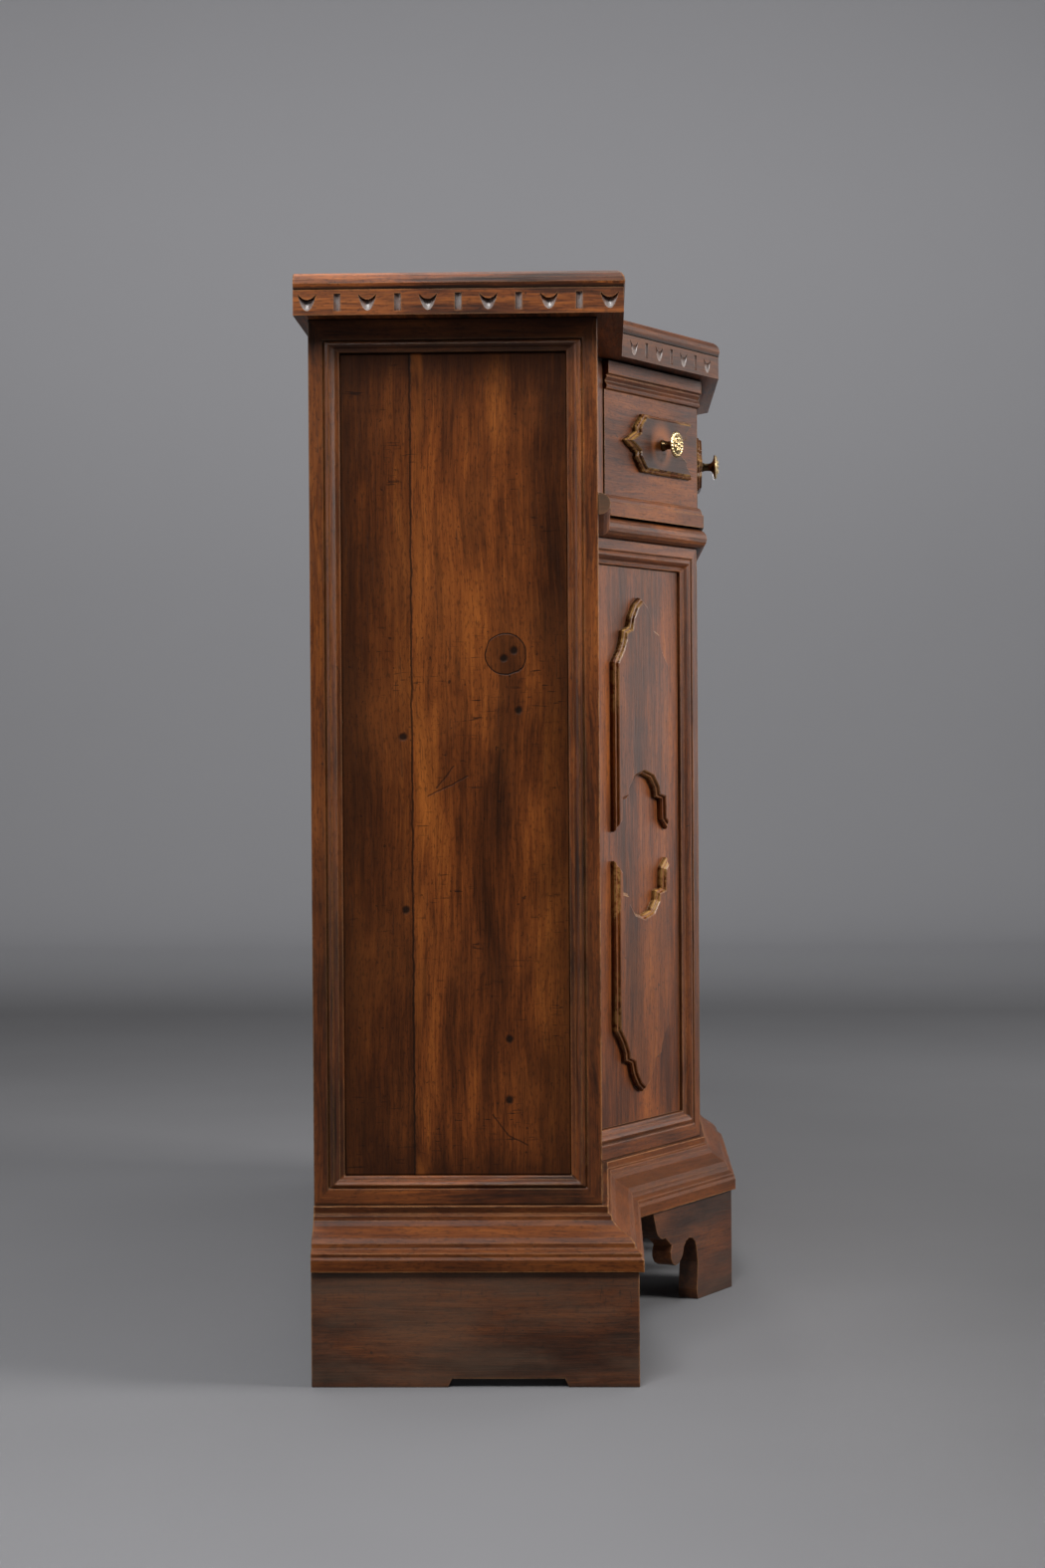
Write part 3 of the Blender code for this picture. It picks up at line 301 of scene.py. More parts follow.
# Shader helpers
class Nodes:
    """Small wrapper that adds and links shader nodes."""

    def __init__(self, name):
        self.mat = bpy.data.materials.new(name)
        self.mat.use_nodes = True
        self.tree = self.mat.node_tree
        self.shader = self.tree.nodes["Principled BSDF"]

    def add(self, kind, inputs=None, **settings):
        node = self.tree.nodes.new(kind)
        for key, value in settings.items():
            setattr(node, key, value)
        for key, value in (inputs or {}).items():
            self.put(node.inputs[key], value)
        return node

    def put(self, socket, value):
        if isinstance(value, bpy.types.NodeSocket):
            self.tree.links.new(value, socket)
        else:
            socket.default_value = value

    def math(self, operation, a, b=0.0):
        return self.add("ShaderNodeMath", {0: a, 1: b}, operation=operation).outputs[0]

    def plus(self, a, b):
        return self.math("ADD", a, b)

    def minus(self, a, b):
        return self.math("SUBTRACT", a, b)

    def times(self, a, b):
        return self.math("MULTIPLY", a, b)

    def most(self, a, b):
        return self.math("MAXIMUM", a, b)

    def least(self, a, b):
        return self.math("MINIMUM", a, b)

    def gap(self, a, b):
        return self.math("ABSOLUTE", self.minus(a, b))

    def rest(self, value):
        """What is left of 1."""
        return self.minus(1.0, value)

    def dot(self, a, b):
        return self.add("ShaderNodeVectorMath", {0: a, 1: b}, operation="DOT_PRODUCT").outputs["Value"]

    def moved(self, vector, by):
        return self.add("ShaderNodeVectorMath", {0: vector, 1: by}, operation="ADD").outputs[0]

    def stretched(self, vector, factors):
        return self.add("ShaderNodeVectorMath", {0: vector, 1: factors}, operation="MULTIPLY").outputs[0]

    def choice(self, factor, first, second):
        """The first vector where factor is 0, and the second where it is 1."""
        node = self.add("ShaderNodeMix", {0: factor, 4: first, 5: second}, data_type="VECTOR")
        return node.outputs[1]

    def ramp(self, factor, stops):
        node = self.add("ShaderNodeValToRGB", {0: factor})
        marks = node.color_ramp.elements
        while len(marks) < len(stops):
            marks.new(0.5)
        for mark, (place, colour) in zip(marks, stops):
            mark.position = place
            mark.color = (*colour, 1)
        return node.outputs[0]

    def mask(self, value, low, high):
        """0 below low, 1 above high, smooth between."""
        node = self.add("ShaderNodeMapRange", {"Value": value, "From Min": low, "From Max": high},
                        interpolation_type="SMOOTHSTEP")
        return node.outputs[0]

    def near(self, value, full, gone):
        """1 below full, 0 above gone, smooth between."""
        return self.rest(self.mask(value, full, gone))

    def mix(self, factor, a, b, blend="MIX"):
        node = self.add("ShaderNodeMix", data_type="RGBA", blend_type=blend)
        self.put(node.inputs[0], factor)
        self.put(node.inputs[6], a if isinstance(a, bpy.types.NodeSocket) else (*a, 1))
        self.put(node.inputs[7], b if isinstance(b, bpy.types.NodeSocket) else (*b, 1))
        return node.outputs[2]

    def noise(self, vector, scale, detail, rough, distortion=0.0):
        node = self.add("ShaderNodeTexNoise", {"Vector": vector, "Scale": scale, "Detail": detail,
                                               "Roughness": rough, "Distortion": distortion})
        return node.outputs[0]

    def swing(self, vector, noise, reach):
        """Noise about 0."""
        return self.times(self.minus(self.noise(vector, *noise), 0.5), reach)

    def patches(self, vector, scale, detail, rough, low, high):
        """Noise masked into patches."""
        return self.mask(self.noise(vector, scale, detail, rough), low, high)

    def place(self):
        return self.add("ShaderNodeTexCoord").outputs["Object"]

    def reach(self, axis):
        """How far a point lies along a direction."""
        return self.dot(self.place(), tuple(axis))

    def facing(self, out):
        """Cosine between the object's normal and a direction."""
        return self.dot(self.add("ShaderNodeTexCoord").outputs["Normal"], tuple(out))

    def shading_normal(self):
        return self.add("ShaderNodeNewGeometry").outputs["Normal"]

    def hollows(self, distance):
        """Near 0 in hollows, and 1 in the open."""
        return self.add("ShaderNodeAmbientOcclusion", {"Distance": distance}, samples=6).outputs["AO"]


# Wood
def grain_space(n, place, along, face):
    """Coordinates with the grain along X: along is its direction, face the outward normal."""
    across = face.cross(along)
    parts = [n.dot(place, tuple(axis)) for axis in (along, across, face)]
    return n.add("ShaderNodeCombineXYZ", dict(enumerate(parts))).outputs[0]


def frame_coords(n, place, along, face, rule):
    """Grain coordinates of a mitred frame: along its stiles, and across on its rails."""
    middle, half_width, half_height = rule
    across = face.cross(along)
    level = n.gap(n.dot(place, tuple(along)), middle.dot(along))
    aside = n.gap(n.dot(place, tuple(across)), middle.dot(across))
    rail = n.math("LESS_THAN", n.minus(half_height, level), n.minus(half_width, aside))
    return n.choice(rail, grain_space(n, place, along, face), grain_space(n, place, across, face))


def wrapped_coords(n, place):
    """Grain coordinates of an edge that runs round the cabinet: along each side, cant and front."""
    normal = n.shading_normal()
    parts = n.add("ShaderNodeSeparateXYZ", {0: normal})
    squares = [n.times(parts.outputs[k], parts.outputs[k]) for k in (0, 1)]
    level = n.math("SQRT", n.plus(squares[0], squares[1]))
    limit = n.plus(n.times(level, FACED_SHARE), FACED_LEAST)
    grain = grain_space(n, place, RIGHT, FORWARD)
    for out in (CANT_OUT, CANT_OUT * FLIP, -RIGHT, RIGHT):
        faced = n.math("GREATER_THAN", n.dot(normal, tuple(out)), limit)
        grain = n.choice(faced, grain, grain_space(n, place, UP.cross(out), out))
    return grain


def grain_coords(n, along, face, seed, rule):
    """Grain coordinates of one piece, moved by its seed so that no two pieces look alike."""
    place = n.place()
    if along is None:
        coords = wrapped_coords(n, place)
    elif rule:
        coords = frame_coords(n, place, along, face, rule)
    else:
        coords = grain_space(n, place, along, face)
    return n.moved(coords, (seed, seed * 1.7, seed * 0.6))


def figure_colour(n, look):
    """Bands and streaks of the grain, orange blotches and dark smudges."""
    contrast, smudges = look["contrast"], look["smudges"]
    broad = n.noise(n.stretched(n.bent, BROAD_GRAIN), *BROAD_NOISE)
    figure = n.plus(n.times(broad, 1.0 - look["strings"]), n.times(n.streak, look["strings"]))
    figure = n.plus(figure, n.times(n.minus(n.fine, 0.5), FINE_SHARE))
    if look["calm"]:
        lying = n.mask(n.facing(UP), *LYING)
        contrast = n.minus(contrast, n.times(lying, look["calm"] * contrast))
        smudges = n.minus(smudges, n.times(lying, look["calm"] * smudges))
    figure = n.plus(0.5, n.times(n.minus(figure, 0.5), contrast))
    colour = n.ramp(figure, FIGURE_COLOURS)
    lift = n.times(n.mask(n.blotch, *BLOTCHES), look["orange"] * BLOTCH_STRENGTH)
    colour = n.mix(lift, colour, ORANGE)
    smudge = n.patches(n.stretched(n.bent, SMUDGE_GRAIN), *SMUDGE_PATCHES)
    return n.mix(n.times(smudge, smudges), colour, DARK)


def marked_colour(n, look, colour):
    """Adds pores, specks, nicks and dust."""
    colour = n.mix(n.times(n.pores, PORE_STRENGTH), colour, DARK)
    pepper = n.patches(n.stretched(n.bent, PEPPER_GRAIN), *PEPPER_PATCHES)
    colour = n.mix(n.times(pepper, PEPPER_STRENGTH), colour, DARK)
    specks = n.patches(n.coords, *SPECK_PATCHES)
    colour = n.mix(n.times(specks, SPECK_STRENGTH), colour, SOOT_AND_SHADE)
    if look["nicks"]:
        crowd = n.patches(n.coords, *NICK_CROWDS)
        nick = n.patches(n.stretched(n.coords, NICK_GRAIN), *NICK_PATCHES)
        colour = n.mix(n.times(n.times(crowd, nick), look["nicks"]), colour, SOOT_AND_SHADE)
    colour = n.mix(1.0, colour, (look["tone"],) * 3, "MULTIPLY")
    if look["dust"]:
        film = n.patches(n.stretched(n.coords, DUST_GRAIN), *DUST_PATCHES)
        colour = n.mix(n.times(film, look["dust"]), colour, DUST)
    return colour


def edged_colour(n, look, colour):
    """Adds rubbed arrises, lightened also as painted highlights, and painted shade in recesses."""
    bevelled = n.add("ShaderNodeBevel", {"Radius": ARRIS_RADIUS}, samples=4).outputs[0]
    bend = n.rest(n.dot(bevelled, n.shading_normal()))
    arris = n.times(n.mask(bend, *ARRISES), n.mask(n.hollow, *ARRIS_OPENNESS))
    patch = n.patches(n.coords, *WORN_PATCHES)
    # rubbed arrises, lightened also as painted highlights of their rounded edges
    colour = n.mix(n.times(n.times(arris, patch), look["wear_and_highlight"]), colour, WORN_AND_HIGHLIGHT)
    # painted shade: darkens what is occluded, in recesses
    recess = n.times(n.mask(n.rest(n.hollow), *SHADED_RECESSES), look["shade_in_recesses"])
    return n.mix(recess, colour, SOOT_AND_SHADE)


def wood(name, along=None, face=None, seed=0.0, rule=None, **looks):
    """Waxed walnut: streaked colour, pores, painted shade in recesses, and rubbed edges lightened also as
    painted highlights.

    along is the grain's direction and face the outward normal; without them the grain runs
    round the cabinet. rule, if given, is the (middle, half width, half height) of a mitred frame.
    looks are the values that differ from PLAIN_LOOK.
    """
    look = {**PLAIN_LOOK, **looks}
    n = Nodes(name)
    n.coords = grain_coords(n, along, face, seed, rule)
    sway = n.swing(n.stretched(n.coords, SWAY_GRAIN), SWAY_NOISE, SWAY)
    n.bent = n.moved(n.coords, n.add("ShaderNodeCombineXYZ", {0: 0.0, 1: sway, 2: 0.0}).outputs[0])
    n.streak = n.noise(n.stretched(n.bent, STREAK_GRAIN), *STREAK_NOISE)
    n.fine = n.noise(n.stretched(n.bent, FINE_GRAIN), *FINE_NOISE)
    n.pores = n.mask(n.fine, *PORES)
    n.blotch = n.noise(n.coords, *BLOTCH_NOISE)
    n.hollow = n.hollows(HOLLOW_REACH)
    colour = marked_colour(n, look, figure_colour(n, look))
    n.put(n.shader.inputs["Base Color"], edged_colour(n, look, colour))
    rough = n.plus(look["polish"], n.times(n.minus(n.blotch, 0.5), BLOTCH_ROUGHNESS))
    n.put(n.shader.inputs["Roughness"], n.plus(rough, n.times(n.pores, PORE_ROUGHNESS)))
    n.shader.inputs["Specular IOR Level"].default_value = look["shine"]
    n.height = n.plus(n.times(n.fine, FINE_RELIEF), n.times(n.streak, STREAK_RELIEF))
    n.height = n.plus(n.height, n.times(n.noise(n.coords, *SWELL_NOISE), SWELL_RELIEF))
    n.bump = n.add("ShaderNodeBump", {"Strength": BUMP_STRENGTH, "Distance": BUMP_DISTANCE,
                                      "Height": n.height})
    n.put(n.shader.inputs["Normal"], n.bump.outputs[0])
    return n


def tint(n, where, strength, colour):
    """Mixes one more colour into a wood's base colour."""
    old = n.shader.inputs["Base Color"].links[0].from_socket
    n.put(n.shader.inputs["Base Color"], n.mix(n.times(where, strength), old, colour))


def paint_front_lighting(n, strength, colour):
    """Mixes a colour into what faces the front, as painted light and shade: a dark colour paints shade
    there, a paler one paints light.
    """
    tint(n, n.mask(n.facing(FORWARD), *PAINTED_FRONT_FACES), strength, colour)
    return n


def paint_shadow_above(n, low, high, strength):
    """Paints a shadow: darkens a wood from one height up to another and beyond; swapped heights darken
    downwards.
    """
    tint(n, n.mask(n.reach(UP), low, high), strength, SOOT_AND_SHADE)
    return n


def dent(n, amount, depth):
    """Lowers a wood's bump where amount is 1."""
    n.height = n.minus(n.height, n.times(amount, depth))
    n.put(n.bump.inputs["Height"], n.height)


# Marks of the side panels
def spot_distance(n, across, up, spot):
    """Distance of a point to a spot."""
    u = n.minus(across, spot[0])
    v = n.minus(up, spot[1])
    return n.math("SQRT", n.plus(n.times(u, u), n.times(v, v)))


def line_distance(n, across, up, start, end):
    """Distance of a point to a straight scratch."""
    run = Vector(end) - Vector(start)
    length = run.length
    run.normalize()
    u = n.minus(across, start[0])
    v = n.minus(up, start[1])
    travel = n.plus(n.times(u, run.x), n.times(v, run.y))
    inside = n.least(n.most(travel, 0.0), length)
    far_u = n.minus(u, n.times(inside, run.x))
    far_v = n.minus(v, n.times(inside, run.y))
    return spot_distance(n, far_u, far_v, (0.0, 0.0))


def paint_edge_shade(n, across, up):
    """Paints shade on a side panel towards its edges, and a painted shadow under its top, darkest of all.
    """
    low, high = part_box("side_panel_left")
    sides = n.least(n.minus(across, SIDE_HIGH.y - high.y), n.minus(SIDE_HIGH.y - low.y, across))
    ends = n.least(n.minus(up, low.z), n.minus(high.z, up))
    cloud = n.minus(n.noise(n.place(), *CLOUD_NOISE), 0.5)
    rim = n.plus(n.least(sides, ends), n.times(cloud, RIM_SHADE_STRAY))
    tint(n, n.near(rim, 0.0, RIM_SHADE_FADE), 0.65, DARK)
    top = n.plus(n.minus(high.z, up), n.times(cloud, TOP_SHADOW_STRAY))
    tint(n, n.near(top, 0.0, TOP_SHADOW_FADE), 0.5, DARK)


def age_side_panel(n):
    """Board seam, round plug, knocks and scratches of a side panel."""
    place = n.add("ShaderNodeSeparateXYZ", {0: n.place()})
    wobble = n.swing(n.place(), WOBBLE_NOISE, MARK_WOBBLE)
    across = n.minus(SIDE_HIGH.y, n.plus(place.outputs[1], wobble))
    up = n.plus(place.outputs[2], wobble)
    # painted shade towards the panel's edges, and a painted shadow under its top
    paint_edge_shade(n, across, up)
    tint(n, n.mask(n.minus(PANEL_SEAM, across), -BOARD_STEP, BOARD_STEP), 0.34, DARK)
    pale = n.near(n.gap(across, PANEL_SEAM + PALE_LINE), *PALE_HALF_WIDTH)
    patchy = n.patches(n.stretched(n.place(), PALE_GRAIN), *PALE_PATCHES)
    tint(n, n.times(pale, patchy), 0.45, ORANGE)
    from_plug = spot_distance(n, across, up, PLUG)
    tint(n, n.near(from_plug, PLUG_RADIUS - PLUG_STEP, PLUG_RADIUS), 0.40, DARK)
    seam = n.near(n.gap(across, PANEL_SEAM), *SEAM_HALF_WIDTH)
    ring = n.near(n.gap(from_plug, PLUG_RADIUS), *RING_HALF_WIDTH)
    marks = n.most(n.times(seam, 0.85), ring)
    for spot in DINGS + PLUG_HOLES:
        hole = n.near(spot_distance(n, across, up, spot), DING_RADIUS * DING_CORE, DING_RADIUS)
        marks = n.most(marks, hole)
    for start, end in SCRATCHES:
        line = line_distance(n, across, up, start, end)
        scratch = n.near(line, SCRATCH_WIDTH * SCRATCH_CORE, SCRATCH_WIDTH)
        marks = n.most(marks, n.times(scratch, 0.7))
    tint(n, marks, 0.9, SOOT_AND_SHADE)
    dent(n, marks, MARK_DEPTH)
    return n


# Finishes of the CAD nodes
def finish_node(node, mat):
    """Give a CAD node its finish and soft, slightly rounded arrises."""
    obj = NODES[node]
    obj.data.materials.clear()
    obj.data.materials.append(mat)
    soften(obj, ARRIS_WIDTH)


def soften(obj, width):
    weld = obj.modifiers.new("weld", "WELD")
    weld.merge_threshold = WELD_DISTANCE
    round_off = obj.modifiers.new("arris", "BEVEL")
    round_off.width = width
    round_off.segments = 2
    round_off.limit_method = "ANGLE"
    round_off.angle_limit = ARRIS_ANGLE
    round_off.use_clamp_overlap = True
    round_off.harden_normals = False


def middle_of(node):
    low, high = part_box(node)
    return (low + high) / 2


def framed(node, face, seed, look):
    """Wood of a mitred frame, with the grain along its stiles and rails."""
    across = face.cross(UP)
    spread = [v.co.dot(across) for v in NODES[node].data.vertices]
    low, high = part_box(node)
    half_width, half_height = (max(spread) - min(spread)) / 2, (high.z - low.z) / 2
    middle = across * ((max(spread) + min(spread)) / 2) + UP * middle_of(node).z
    return wood(node, UP, face, seed, (middle, half_width, half_height), **look)


def paint_plate_highlights(n, node, face, level=None, knob=None):
    """Painted ochre highlights and painted shade on the stepped edges of raised plates: what leans away
    from the face.

    level, if given, is the height of the middle of a drawer's only plate, which is stained dark
    and carries a painted orange reflection round its knob.
    """
    turned = n.rest(n.facing(face))
    lean = n.times(n.mask(turned, *PLATE_LEAN), n.math("LESS_THAN", turned, PLATE_LEAN_LIMIT))
    outmost = max(v.co.dot(face) for v in NODES[node].data.vertices)
    raised = n.math("GREATER_THAN", n.reach(face), outmost - PLATE_FACE_DEPTH)
    if level is None:
        tint(n, raised, 0.22, DARK)
        region = n.times(n.patches(n.place(), *PANEL_HIGHLIGHT_AREAS), 0.6)
        low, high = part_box(node)
        for band in (high.z - HIGHLIGHT_BELOW_TOP, (low.z + high.z) / 2 - HIGHLIGHT_BELOW_MIDDLE):
            region = n.most(region, n.near(n.gap(n.reach(UP), band), *PLATE_HIGHLIGHT_FADE))
    else:
        on_plate = n.math("LESS_THAN", n.gap(n.reach(UP), level), PLATE_HALF_HEIGHT)
        lean = n.times(lean, on_plate)
        stain = n.patches(n.place(), *STAIN_PATCHES)
        tint(n, raised, n.plus(0.40, n.times(stain, 0.40)), DARK)
        region = n.times(n.patches(n.place(), *DRAWER_HIGHLIGHT_AREAS), 0.85)
    if knob:
        # painted reflection of the brass knob: orange round it on the plate
        away = n.add("ShaderNodeVectorMath", {0: n.place(), 1: middle_of(knob)}, operation="DISTANCE")
        tint(n, n.times(n.near(away.outputs["Value"], *KNOB_REFLECTION), raised), 0.75, ORANGE)
    # painted shade on the plates' edges
    tint(n, lean, 0.22, DARK)
    # painted ochre highlights on those edges, in patches, where they are open
    patch = n.patches(n.place(), *PLATE_HIGHLIGHT_PATCHES)
    shown = n.times(n.mask(n.hollow, *PLATE_HIGHLIGHT_OPENNESS), n.times(region, patch))
    tint(n, n.times(lean, shown), 0.75, OCHRE_HIGHLIGHT)
    old = n.shader.inputs["Roughness"].links[0].from_socket
    n.put(n.shader.inputs["Roughness"], n.minus(old, n.times(lean, 0.16)))
    return n


def dress_front(name, along, face, seed, level=None, knob=None):
    """A drawer front, frieze or panel that carries raised plates."""
    look = FRONT_PANEL if level is None else DRAWER_FRONT
    front = wood(name, along, face, seed, **look)
    finish_node(name, paint_plate_highlights(front, name, face, level, knob).mat)


def dress_side(side, cant, flank, seed):
    """The pieces of one half of the cabinet."""
    name = f"side_frame_{side}"
    frame_wood = framed(name, flank, seed + 1, SIDE_FRAME)
    # painted shade: the back stile darker than the front one, where less light falls
    tint(frame_wood, frame_wood.mask(frame_wood.reach(FORWARD), *BACK_STILE_PAINTED_SHADE), 0.35, DARK)
    # painted shadow under the side frame's top, where the cornice overhangs
    begins, full = (SIDE_HIGH.z - below for below in FRAME_TOP_PAINTED_SHADOW)
    finish_node(name, paint_shadow_above(frame_wood, begins, full, 0.55).mat)
    name = f"side_panel_{side}"
    finish_node(name, age_side_panel(wood(name, UP, flank, seed + 2, **SIDE_PANEL)).mat)
    name = f"cant_frame_{side}"
    finish_node(name, framed(name, cant, seed + 3, FRONT_FRAME).mat)
    dress_front(f"cant_panel_{side}", UP, cant, seed + 4)
    name = f"wing_door_frame_{side}"
    finish_node(name, framed(name, FORWARD, seed + 5, FRONT_FRAME).mat)
    dress_front(f"wing_door_panel_{side}", UP, FORWARD, seed + 6)
    dress_front(f"wing_frieze_{side}", RIGHT, FORWARD, seed + 7, KNOB_LEVEL)
    dress_front(f"cant_drawer_front_{side}", cant.cross(UP), cant, seed + 8, KNOB_LEVEL,
                f"cant_drawer_knob_{side}")
    name = f"wing_divider_{side}"
    finish_node(name, wood(name, UP, FORWARD, seed + 9).mat)
    name = f"side_plinth_{side}"
    finish_node(name, wood(name, FORWARD, flank, seed + 10, **PLINTH).mat)
    name = f"front_foot_{side}"
    finish_node(name, wood(name, seed=seed + 11, **FOOT).mat)
    for part in ("cant_drawer_box", "cant_divider"):
        finish_node(f"{part}_{side}", INSIDE)
    for part in ("cant_drawer_knob", "wing_door_escutcheon"):
        finish_node(f"{part}_{side}", BRASS)
    for part in ("wing_door_pin_top", "wing_door_pin_bottom"):
        finish_node(f"{part}_{side}", IRON)


def dress_middle():
    """The pieces that are not one of a pair."""
    name = "centre_door_frame"
    finish_node(name, framed(name, FORWARD, 6.3, FRONT_FRAME).mat)
    dress_front("centre_door_panel", UP, FORWARD, 7.3)
    dress_front("centre_drawer_front", RIGHT, FORWARD, 8.3, KNOB_LEVEL, "centre_drawer_knob")
    for node in ("back_panel", "bottom_board", "shelf", "centre_drawer_box"):
        finish_node(node, INSIDE)
    for node in ("centre_drawer_knob", "centre_door_escutcheon"):
        finish_node(node, BRASS)
    for node in ("centre_door_pin_top", "centre_door_pin_bottom"):
        finish_node(node, IRON)
    # painted shade on the slab's front-facing faces
    slab = paint_front_lighting(wood("top_board", seed=1.4, **SLAB), 0.75, DARK)
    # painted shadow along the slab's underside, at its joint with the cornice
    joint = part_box("top_board")[0].z
    begins, full = (joint + above for above in SLAB_JOINT_PAINTED_SHADOW)
    finish_node("top_board", paint_shadow_above(slab, begins, full, 0.85).mat)
    base = wood("base_moulding", seed=2.4, **BASE)
    # painted light on the base moulding's front-facing faces
    finish_node("base_moulding", paint_front_lighting(base, 0.10, ORANGE).mat)
    deck = wood("drawer_deck", seed=4.4, **DECK)
    sideways = deck.math("ABSOLUTE", deck.dot(deck.shading_normal(), tuple(RIGHT)))
    tint(deck, deck.mask(sideways, *END_GRAIN), 0.6, DUST)
    finish_node("drawer_deck", deck.mat)


def iron():
    n = Nodes("iron")
    rust = n.patches(n.place(), *RUST_PATCHES)
    n.put(n.shader.inputs["Base Color"], n.mix(rust, IRON_GREY, RUST))
    n.put(n.shader.inputs["Roughness"], n.plus(0.42, n.times(rust, 0.3)))
    n.shader.inputs["Metallic"].default_value = 1.0
    return n.mat


def brass(name, bright, dull):
    """Cast brass, tarnished in its hollows and rubbed bright on its beads."""
    n = Nodes(name)
    tarnish = n.mask(n.rest(n.hollows(TARNISH_REACH)), *TARNISHED)
    spots = n.patches(n.place(), *BRASS_PATCHES)
    colour = n.mix(n.times(spots, 0.6), bright, dull)
    n.put(n.shader.inputs["Base Color"], n.mix(tarnish, colour, TARNISH))
    n.put(n.shader.inputs["Roughness"], n.plus(0.28, n.times(spots, 0.22)))
    n.shader.inputs["Metallic"].default_value = 1.0
    return n.mat


# Carved cornice and cast knobs, which stand for plainer CAD nodes
def object_from(name, mesh_data, mat):
    mesh = bpy.data.meshes.new(name)
    mesh_data.to_mesh(mesh)
    mesh_data.free()
    mesh.materials.append(mat)
    obj = bpy.data.objects.new(name, mesh)
    bpy.context.scene.collection.objects.link(obj)
    return obj


def stand_for(piece, node, body):
    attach(piece, body)
    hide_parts(node)


def cornice_outline():
    """Corners of the cornice in plan: its left half from the back round to the front."""
    top = {(round(v.co.x, 5), round(v.co.y, 5)) for v in NODES["cornice_board"].data.vertices
           if v.co.z > CORNICE_HIGH.z - 0.0001}
    return sorted((Vector((x, y, 0)) for x, y in top if x < 0), key=lambda p: (-round(p.y, 3), p.x))


def carving_spots(half_step):
    """Places along every show edge, with the way out of it: half_step 0 at the grooves, 1 midway."""
    back, corner, inner, outer = cornice_outline()
    runs = [(back, corner, -RIGHT), (corner, inner, FORWARD), (inner, outer, CANT_OUT)]
    runs += [(start * FLIP, end * FLIP, out * FLIP) for start, end, out in runs]
    runs.append((outer, outer * FLIP, FORWARD))
    level = UP * (CORNICE_LOW.z + CORNICE_HIGH.z) / 2
    for start, end, out in runs:
        length = (end - start).length
        count = int(length / CARVING_PITCH) + half_step
        for k in range(count):
            offset = (k - (count - 1) / 2) * CARVING_PITCH
            if abs(offset) < length / 2 - TULIP_END_MARGIN:
                yield (start + end) / 2 + level + UP.cross(out) * offset, out


def face_turn(spot, out):
    """Places (along, up, out) coordinates at one spot of the cornice."""
    return Matrix.Translation(spot) @ Matrix((UP.cross(out), UP, out)).transposed().to_4x4()


def add_tulip(mesh_data, place):
    """Cutter of one tulip: deepest under its hanging upper edge, running out at its foot."""
    columns, rows = TULIP_COLUMNS, TULIP_ROWS
    front, back = [], []
    for i in range(columns):
        share = TULIP_SPAN * (2 * i / (columns - 1) - 1)
        top = TULIP_HALF_HEIGHT - TULIP_DIP * (1 - share * share)
        foot = TULIP_HALF_HEIGHT * (2 * abs(share) ** TULIP_POINT - 1)
        deep = TULIP_DEPTH * math.sqrt(1 - share * share)
        for j in range(rows):
            fall = j / (rows - 1)
            u, v = share * TULIP_HALF_WIDTH, top + (foot - top) * fall
            front.append(mesh_data.verts.new(place @ Vector((u, v, CUTTER_PROUD))))
            back.append(mesh_data.verts.new(place @ Vector((u, v, -deep * (1 - fall) ** TULIP_RUN_OUT))))
    for i in range(columns - 1):
        for j in range(rows - 1):
            ring = (i * rows + j, i * rows + j + 1, (i + 1) * rows + j + 1, (i + 1) * rows + j)
            mesh_data.faces.new([front[k] for k in ring])
            mesh_data.faces.new([back[k] for k in reversed(ring)])
    edge = [i * rows for i in range(columns)]
    edge += [(columns - 1) * rows + j for j in range(1, rows)]
    edge += [i * rows + rows - 1 for i in range(columns - 2, -1, -1)]
    edge += list(range(rows - 2, 0, -1))
    for first, second in zip(edge, edge[1:] + edge[:1]):
        mesh_data.faces.new((front[first], front[second], back[second], back[first]))


def plain_cornice(mat):
    """The cornice as a board, before it is carved."""
    left = cornice_outline()
    outline = left + [p * FLIP for p in reversed(left)]
    mesh_data = bmesh.new()
    rows = [[mesh_data.verts.new((p.x, p.y, z)) for p in outline] for z in (CORNICE_LOW.z, CORNICE_HIGH.z)]
    count = len(outline)
    for k in range(count):
        after = (k + 1) % count
        mesh_data.faces.new((rows[0][k], rows[0][after], rows[1][after], rows[1][k]))
    mesh_data.faces.new(rows[0])
    mesh_data.faces.new(rows[1])
    bmesh.ops.recalc_face_normals(mesh_data, faces=mesh_data.faces)
    return object_from("carved_cornice", mesh_data, mat)


def paint_carving_highlights(n):
    """Painted pale highlights in the carved hollows, strongest where they open."""
    highlight_spread = n.patches(n.place(), *CARVING_HIGHLIGHT_PATCHES)
    tint(n, n.mask(n.hollow, *CARVING_HIGHLIGHT_OPENNESS), n.plus(0.45, n.times(highlight_spread, 0.45)), CARVING_HIGHLIGHT)
    return n


